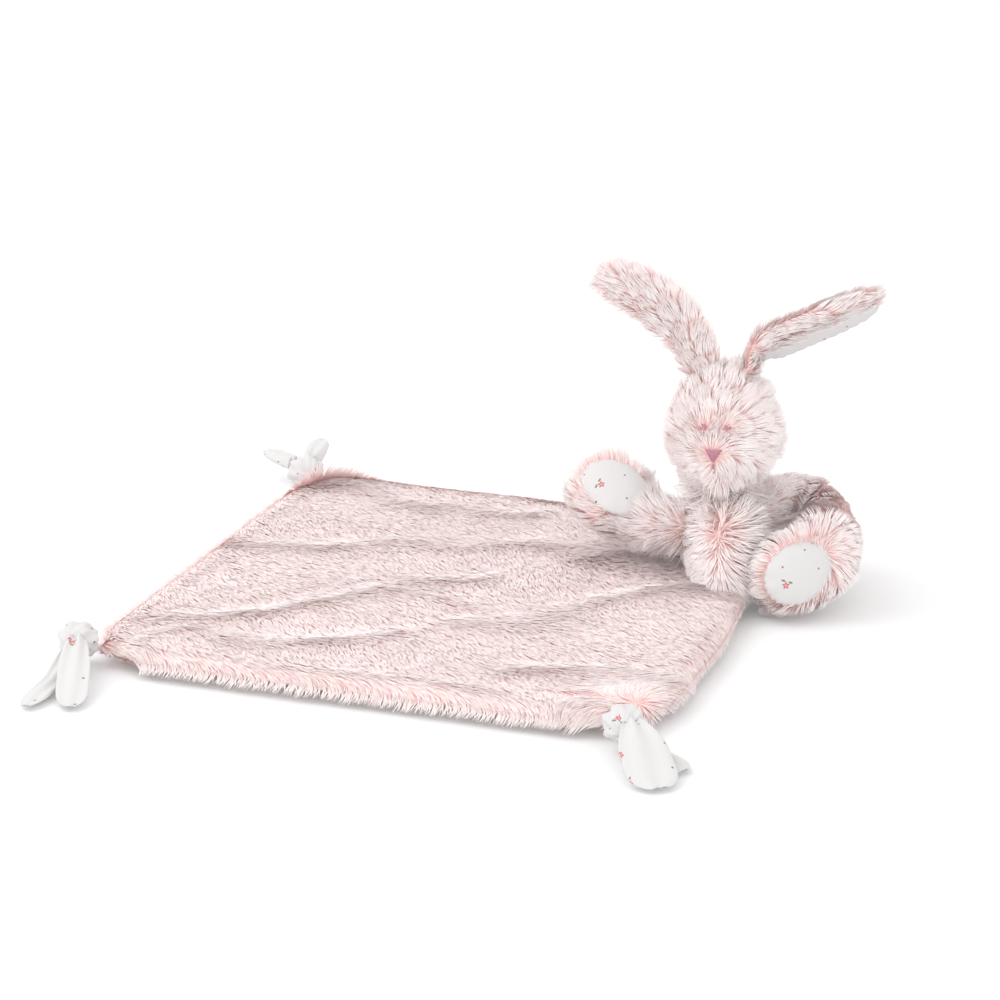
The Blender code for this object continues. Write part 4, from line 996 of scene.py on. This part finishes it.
make_ear("left", root=Vector((0.10892, 0.07083, 0.12502)), length=0.073, rolls=(radians(90), radians(90)),
         seed=34, breadth=1.0,
         route=((0.0, 0.0, 0.0), (-0.10, 0.01, 0.20), (-0.27, 0.02, 0.385), (-0.50, 0.02, 0.53),
                (-0.75, 0.00, 0.63)))
make_ear("right", root=Vector((0.13268, 0.07417, 0.12502)), length=0.077, rolls=(0.0, radians(-45)),
         seed=35, breadth=1.14,
         route=((0.0, 0.0, 0.0), (0.11, 0.01, 0.125), (0.34, 0.03, 0.25), (0.60, 0.04, 0.375),
                (0.86, 0.05, 0.51)))


# Arms
# Each arm is a plush tube sewn into the chest's side and filled, with a rounded paw whose flat
# face is a padded oval of the printed cotton, set in with a small seam.

ARM_RADIUS, ARM_RADIUS_GAIN, PAW_RADIUS_GAIN = 0.0125, 0.0053, 0.0037
ARM_ROOT_WALL, ARM_WALL = 0.0045, 0.0048
ARM_STEPS, ARM_SIDES, ARM_ROOT_STEPS, PAW_STEPS = 48, 40, 6, 12
PAD_DISTANCE, PAD_SINK = 0.0145, 0.0008
PAD_HALF = (0.0200, 0.0155, 0.0045)
PAD_RINGS, PAD_SIDES = 16, 72
PAD_PUCKERS, PAD_PUCKER_SHARE, PAD_RIPPLE = 27, 0.035, 0.00035
PAD_UNDERSIDE = ((-0.0012, 0.985), (-0.0022, 0.90))
OFF_PAD = 9.0                   # stands for far from the pad, for points on the arm's other sides
INSIDE_ARM, IN_LOOP, NEAR_CHEST = (0.040, 0.030), (0.054, 0.042), (0.046, 0.032)


def make_arm(name, root, reach, widths, seed, pile_length, trim, print_place, pad_facing, pad_from_end,
             route):
    points = [root + Vector(place) * reach for place in route]
    centres = [through(points, i / ARM_STEPS) for i in range(ARM_STEPS + 1)]
    frames = frames_along(centres, Vector((0, 0, 1)))
    end_along = frames[-1][1]
    pad_place = through(centres, 1 - pad_from_end)
    pad_out = (pad_facing - end_along * pad_facing.dot(end_along)).normalized()
    pad_across = pad_out.cross(end_along)
    rings, combs = [], []

    def add_ring(centre, along, side, out, radius, paw):
        ring = []
        for a in angles(ARM_SIDES):
            direction = side * cos(a) + out * sin(a)
            front = step(direction.dot(pad_out), -0.1, 0.4) * paw
            point = centre + direction * (radius * (1 + 0.24 * front))
            beyond = (point - pad_place).dot(pad_out) - (PAD_DISTANCE - PAD_SINK)
            if beyond > 0 and paw > 0:
                point -= pad_out * beyond
            from_pad = point - pad_place
            flat = Vector((from_pad.dot(end_along) / PAD_HALF[0], from_pad.dot(pad_across) / PAD_HALF[1]))
            ahead = from_pad.dot(pad_out) / PAD_DISTANCE
            ring.append(point)
            away = (end_along * flat.x + pad_across * flat.y) * (1.2 * paw * max(ahead, 0.0))
            combs.append((*(along + away), flat.length if ahead > 0.55 else OFF_PAD))
        rings.append(ring)

    centre, along, side, out = frames[0]
    root_radius = ARM_RADIUS - ARM_ROOT_WALL
    for i in range(ARM_ROOT_STEPS):
        angle = 0.25 + (pi / 2 - 0.25) * i / ARM_ROOT_STEPS
        add_ring(centre - along * (root_radius * cos(angle)), along, side, out, root_radius * sin(angle), 0.0)
    for i, (centre, along, side, out) in enumerate(frames):
        share = i / ARM_STEPS
        radius = (ARM_RADIUS + ARM_RADIUS_GAIN * through(widths, share)
                  + PAW_RADIUS_GAIN * step(share, 0.55, 0.85) - ARM_WALL)
        add_ring(centre, along, side, out, radius, step(share, 0.55, 0.80))
    for i in range(1, PAW_STEPS):
        angle = pi / 2 * i / PAW_STEPS
        add_ring(centre + along * (radius * 1.12 * sin(angle)), along, side, out, radius * cos(angle), 1.0)
    body = name + "_arm"
    skin_mesh = lofted(body, rings)
    combs = np.array(combs + [combs[0], combs[-1]])
    pad_share = combs[:, 3]
    co, out = places(skin_mesh), facing(skin_mesh)
    rim = bell(pad_share - 1.0, 0.25)
    to_chest = np.array((CHEST_PLACE.x, CHEST_PLACE.y, 0.03)) - co
    to_chest /= np.linalg.norm(to_chest, axis=1)[:, None]
    facing_chest = np.sum(to_chest * out, axis=1)
    to_middle = np.linalg.norm(co - np.array((*CHEST_PLACE.xy, 0.04)), axis=1)
    toward = ease(facing_chest * 1.6 - 0.3) * (pad_share > 3)
    outside = ease(-facing_chest * 1.4 - 0.2) * (pad_share > 3)
    in_loop = toward * step(to_middle, *IN_LOOP)
    near = step(to_middle, *NEAR_CHEST)
    # Painted shade: the pile is made deeper pink on the side facing the chest, inside the arm's loop, and
    # near the chest.
    mark(skin_mesh, combs[:, :3] + tangled(skin_mesh, seed) * near[:, None] * 0.5,
         cover=step(pad_share, 0.90, 0.98),
         growth=1 - 0.15 * rim + 0.9 * in_loop + 0.45 * near - trim * outside,
         painted_shade=1.8 * toward * step(to_middle, *INSIDE_ARM) + 1.0 * near,
         stand=0.25 * rim + 0.2 * near + 0.3 * in_loop)
    stuffed(body + "_plush", skin_mesh, body, (body + "_cover", body + "_stuffing"))
    grow_shaggy(body + "_pile", skin_mesh, body, Seed=seed, Strands_per_area=1.2e6,
                Length=pile_length, Lean_at_root=radians(56), Lean_at_tip=radians(90), Tousle=1.5)

    rows = []
    for i in range(PAD_RINGS + 1):
        share = (i + 0.001) / PAD_RINGS
        rise = PAD_HALF[2] * 1.05 * max(1 - share ** 2.6, 0) ** 0.75
        row = []
        for a in angles(PAD_SIDES):
            pucker = 1 + PAD_PUCKER_SHARE * share ** 6 * cos(PAD_PUCKERS * a)
            row.append(Vector((PAD_HALF[0] * share * pucker * cos(a), PAD_HALF[1] * share * pucker * sin(a),
                               rise + PAD_RIPPLE * share ** 3 * sin(9 * a + 3 * share))))
        rows.append(row)
    for depth, shrink in PAD_UNDERSIDE:
        rows.append([Vector((point.x * shrink, point.y * shrink, depth)) for point in rows[PAD_RINGS]])
    place = Matrix((end_along, pad_across, pad_out)).transposed().to_4x4()
    place = Matrix.Translation(pad_place + pad_out * PAD_DISTANCE) @ place
    data = lofted(name + "_pad", [[place @ point for point in row] for row in rows])
    mesh = bmesh.new()
    mesh.from_mesh(data)
    bmesh.ops.recalc_face_normals(mesh, faces=mesh.faces)
    mesh.to_mesh(data)
    mesh.free()
    spots = [(point.x + print_place, point.y) for row in rows for point in row]
    lay_print(data, spots + [(print_place, 0.0)] * 2)
    pad = link_up(name + "_pad", data)
    fit(pad, body, "cotton", name + "_paw_pad")


make_arm("left", root=Vector((0.1016, 0.06198, 0.0376)), reach=0.058,
         widths=(0.0, 0.15, 0.80, 1.0, 1.0), seed=36, pile_length=0.0135, trim=0.0,
         print_place=1.83, pad_facing=Vector((0.66, -0.76, 0.62)), pad_from_end=0.13,
         route=((0.0, 0.0, 0.0), (-0.22, 0.02, -0.01), (-0.43, 0.09, -0.01), (-0.62, 0.16, 0.05),
                (-0.80, 0.21, 0.13)))
make_arm("right", root=Vector((0.13232, 0.09003, 0.0376)), reach=0.055,
         widths=(0.0, 0.15, 0.25, 0.55, 0.95, 1.0, 1.0), seed=37, pile_length=0.0125, trim=0.35,
         print_place=2.54, pad_facing=Vector((0.33, -0.92, 0.20)), pad_from_end=0.0,
         route=((0.0, 0.0, 0.0), (0.11, 0.26, 0.08), (0.31, 0.49, 0.10), (0.62, 0.35, 0.04),
                (0.775, -0.10, -0.05), (0.79, -0.54, -0.15), (0.595, -0.765, -0.28)))


# Corner knots and ties
# A strip of the printed cotton is knotted round each free corner of the blanket. The knot is a
# tight bundle of folds, and the strip's two ends come out of it gathered and spread to rounded tips.

KNOTS = {"front_left": radians(-90), "front_right": radians(-62), "back_left": radians(135)}
KNOT_HALF = Vector((0.0110, 0.0095, 0.0090))
KNOT_STEPS, KNOT_SIDES = 41, 64
KNOT_CLOTH_STEPS = (0.0009, 0.0006)
FLOOR_CLEARANCE = 0.0003
TIES = {"front_left_upper_tie": (radians(-68), 0.0525, 0.0081, 0),
        "front_left_lower_tie": (radians(-88), 0.0540, 0.0061, 0),
        "front_right_upper_tie": (radians(-54), 0.0430, 0.0123, 0),
        "front_right_lower_tie": (radians(-28), 0.0310, 0.0085, 0),
        "back_left_upper_tie": (radians(92), 0.0190, 0.0064, radians(28)),
        "back_left_lower_tie": (radians(160), 0.0220, 0.0064, radians(8))}
TIE_FLOOR = 0.0030
TIE_ROOT_HALF, TIE_WIDTHS = 0.0045, (0.0, 0.55, 0.95, 1.0, 1.0, 0.9)
TIE_FOLD, TIE_THICKNESS, TIE_GATHERED = 0.0011, 0.0019, 0.0010
TIE_STEPS, TIE_SIDES = 40, 48


def tie_cotton(name, rings, spots, body, node):
    """A gathered piece of the printed cotton, closed at both ends."""
    data = lofted(node, rings)
    lay_print(data, spots + [(0, 0), (0, 0)])
    piece = link_up(name, data)
    fit(piece, body, "cotton", node)


for number, (name, heading) in enumerate(KNOTS.items()):
    low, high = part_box(name + "_knot")
    middle = (Vector(low) + Vector(high)) / 2
    turn = Matrix.Rotation(heading, 3, "Z")
    rings = []
    for i in range(KNOT_STEPS):
        along = 2 * (i + 0.5) / KNOT_STEPS - 1
        ring = []
        for a in angles(KNOT_SIDES):
            fold = 1 + 0.075 * sin(7 * a + 2.5 * along + number) + 0.05 * sin(12 * a - 4 * along)
            band = 1 + 0.10 * bell(along - 0.25 * sin(a + number), 0.34)
            wide = sqrt(1 - along ** 2) * fold * band
            point = middle + turn @ Vector((KNOT_HALF.x * along, KNOT_HALF.y * wide * cos(a),
                                            KNOT_HALF.z * wide * sin(a)))
            ring.append(Vector((*point.xy, max(point.z, FLOOR_CLEARANCE))))
        rings.append(ring)
    spots = [(k * KNOT_CLOTH_STEPS[0] + 0.3 * number, i * KNOT_CLOTH_STEPS[1])
             for i in range(KNOT_STEPS) for k in range(KNOT_SIDES)]
    tie_cotton(name + "_knot_cloth", rings, spots, "blanket", name + "_knot")

for number, (name, (heading, length, half, lift)) in enumerate(TIES.items()):
    root = next(Vector(joint["pos_m"]) for joint in frame["joints"] if joint["name"].startswith(name))
    out = Vector((cos(heading), sin(heading), 0))
    side = Vector((-sin(heading), cos(heading), 0))
    rings, spots = [], []
    for i in range(TIE_STEPS + 1):
        share = i / TIE_STEPS
        if lift:
            centre = root + (out * cos(lift) + Vector((0, 0, sin(lift)))) * (length * share)
        else:
            fall = (TIE_FLOOR - root.z) * ease(share / (1.0 if "upper" in name else 0.42))
            centre = root + out * (length * share) + Vector((0, 0, fall))
        wide = TIE_ROOT_HALF + (half - TIE_ROOT_HALF) * through(TIE_WIDTHS, share)
        wide *= rounded_tip(share, 0.72, 0.30)
        gather = (1 - share) ** 2
        ring = []
        for a in angles(TIE_SIDES):
            fold = TIE_FOLD * sin(6.0 * cos(a) + number + 2 * share) * (0.35 + gather)
            thick = (TIE_THICKNESS + TIE_GATHERED * gather) * abs(sin(a)) ** 0.7 * (1 if sin(a) > 0 else -1)
            rise = thick * min(1, 3 * (1.02 - share)) + fold
            ring.append(centre + side * (wide * cos(a)) + Vector((0, 0, 1)) * rise)
            spots.append((wide * a * 0.6 + 0.1 * number, length * share))
        rings.append(ring)
    tie_cotton(name + "_cloth", rings, spots, name, name)


# Floor, light and camera
# A white studio floor under one large soft lamp from the left and a weaker one from the front.
# The camera stands in front, a little to the right, and looks slightly down.

FLOOR_HALF = 4.0
FLOOR_WHITE, FLOOR_GLOW = 0.84, 0.12
WORLD_LIGHT, SEEN_WORLD_LIGHT = 1.0, 0.1
KEY_POWER, FRONT_POWER = 9.5, 6.0
VIEW_TARGET = Vector((-0.0412, 0.1722, 0.0))
VIEW_AZIMUTH = radians(19.88)
VIEW_PITCH = radians(18.69)
VIEW_DISTANCE = 1.9708
IMAGE_SIDE = 1000
FOCAL_PIXELS = 3400
SENSOR_WIDTH = 36


def seen_directly(tree):
    """1 where the camera sees a surface itself or in a reflection, and 0 for the light that it gives."""
    camera, glossy, through_glass = (tree.add("ShaderNodeLightPath", (), (), f"Is {kind} Ray")
                                     for kind in ("Camera", "Glossy", "Transmission"))
    return (camera + glossy + through_glass).call("MINIMUM", 1.0)


mesh = bmesh.new()
bmesh.ops.create_grid(mesh, x_segments=1, y_segments=1, size=FLOOR_HALF)
floor = link_up("floor", plain_mesh("floor", mesh))
material, tree, shader = finish_tree("floor white", 0.9, Emission_Strength=1.0,
                                     Base_Color=(FLOOR_WHITE, FLOOR_WHITE, FLOOR_WHITE, 1))
glow = tree.mix(seen_directly(tree), (0, 0, 0), (FLOOR_GLOW, FLOOR_GLOW, FLOOR_GLOW))
glow.feed(shader, "Emission Color")
floor.data.materials.append(material)

world = bpy.data.worlds.new("studio")
bpy.context.scene.world = world
world.use_nodes = True
background = world.node_tree.nodes["Background"]
(WORLD_LIGHT + seen_directly(Tree(world.node_tree)) * SEEN_WORLD_LIGHT).feed(background, "Strength")
background.inputs["Color"].default_value = (1, 1, 1, 1)


def lamp(name, place, aim, size, power):
    light = bpy.data.lights.new(name, "AREA")
    light.size = size
    light.energy = power
    thing = link_up(name, light)
    thing.location = place
    thing.rotation_euler = (Vector(aim) - Vector(place)).to_track_quat("-Z", "Y").to_euler()


lamp("key light", (-1.15, -0.30, 1.5), (0.0, 0.0, 0.0), 1.3, KEY_POWER)
lamp("front light", (0.75, -1.75, 0.60), (0.10, 0.05, 0.06), 1.2, FRONT_POWER)

camera = bpy.data.cameras.new("camera")
camera.sensor_width = SENSOR_WIDTH
camera.lens = SENSOR_WIDTH * FOCAL_PIXELS / IMAGE_SIDE
camera.clip_start, camera.clip_end = 0.05, 20
eye = link_up("camera", camera)
back = Vector((sin(VIEW_AZIMUTH) * cos(VIEW_PITCH), -cos(VIEW_AZIMUTH) * cos(VIEW_PITCH), sin(VIEW_PITCH)))
eye.location = VIEW_TARGET + back * VIEW_DISTANCE
eye.rotation_euler = back.to_track_quat("Z", "Y").to_euler()
bpy.context.scene.camera = eye
bpy.context.scene.view_settings.view_transform = "Standard"
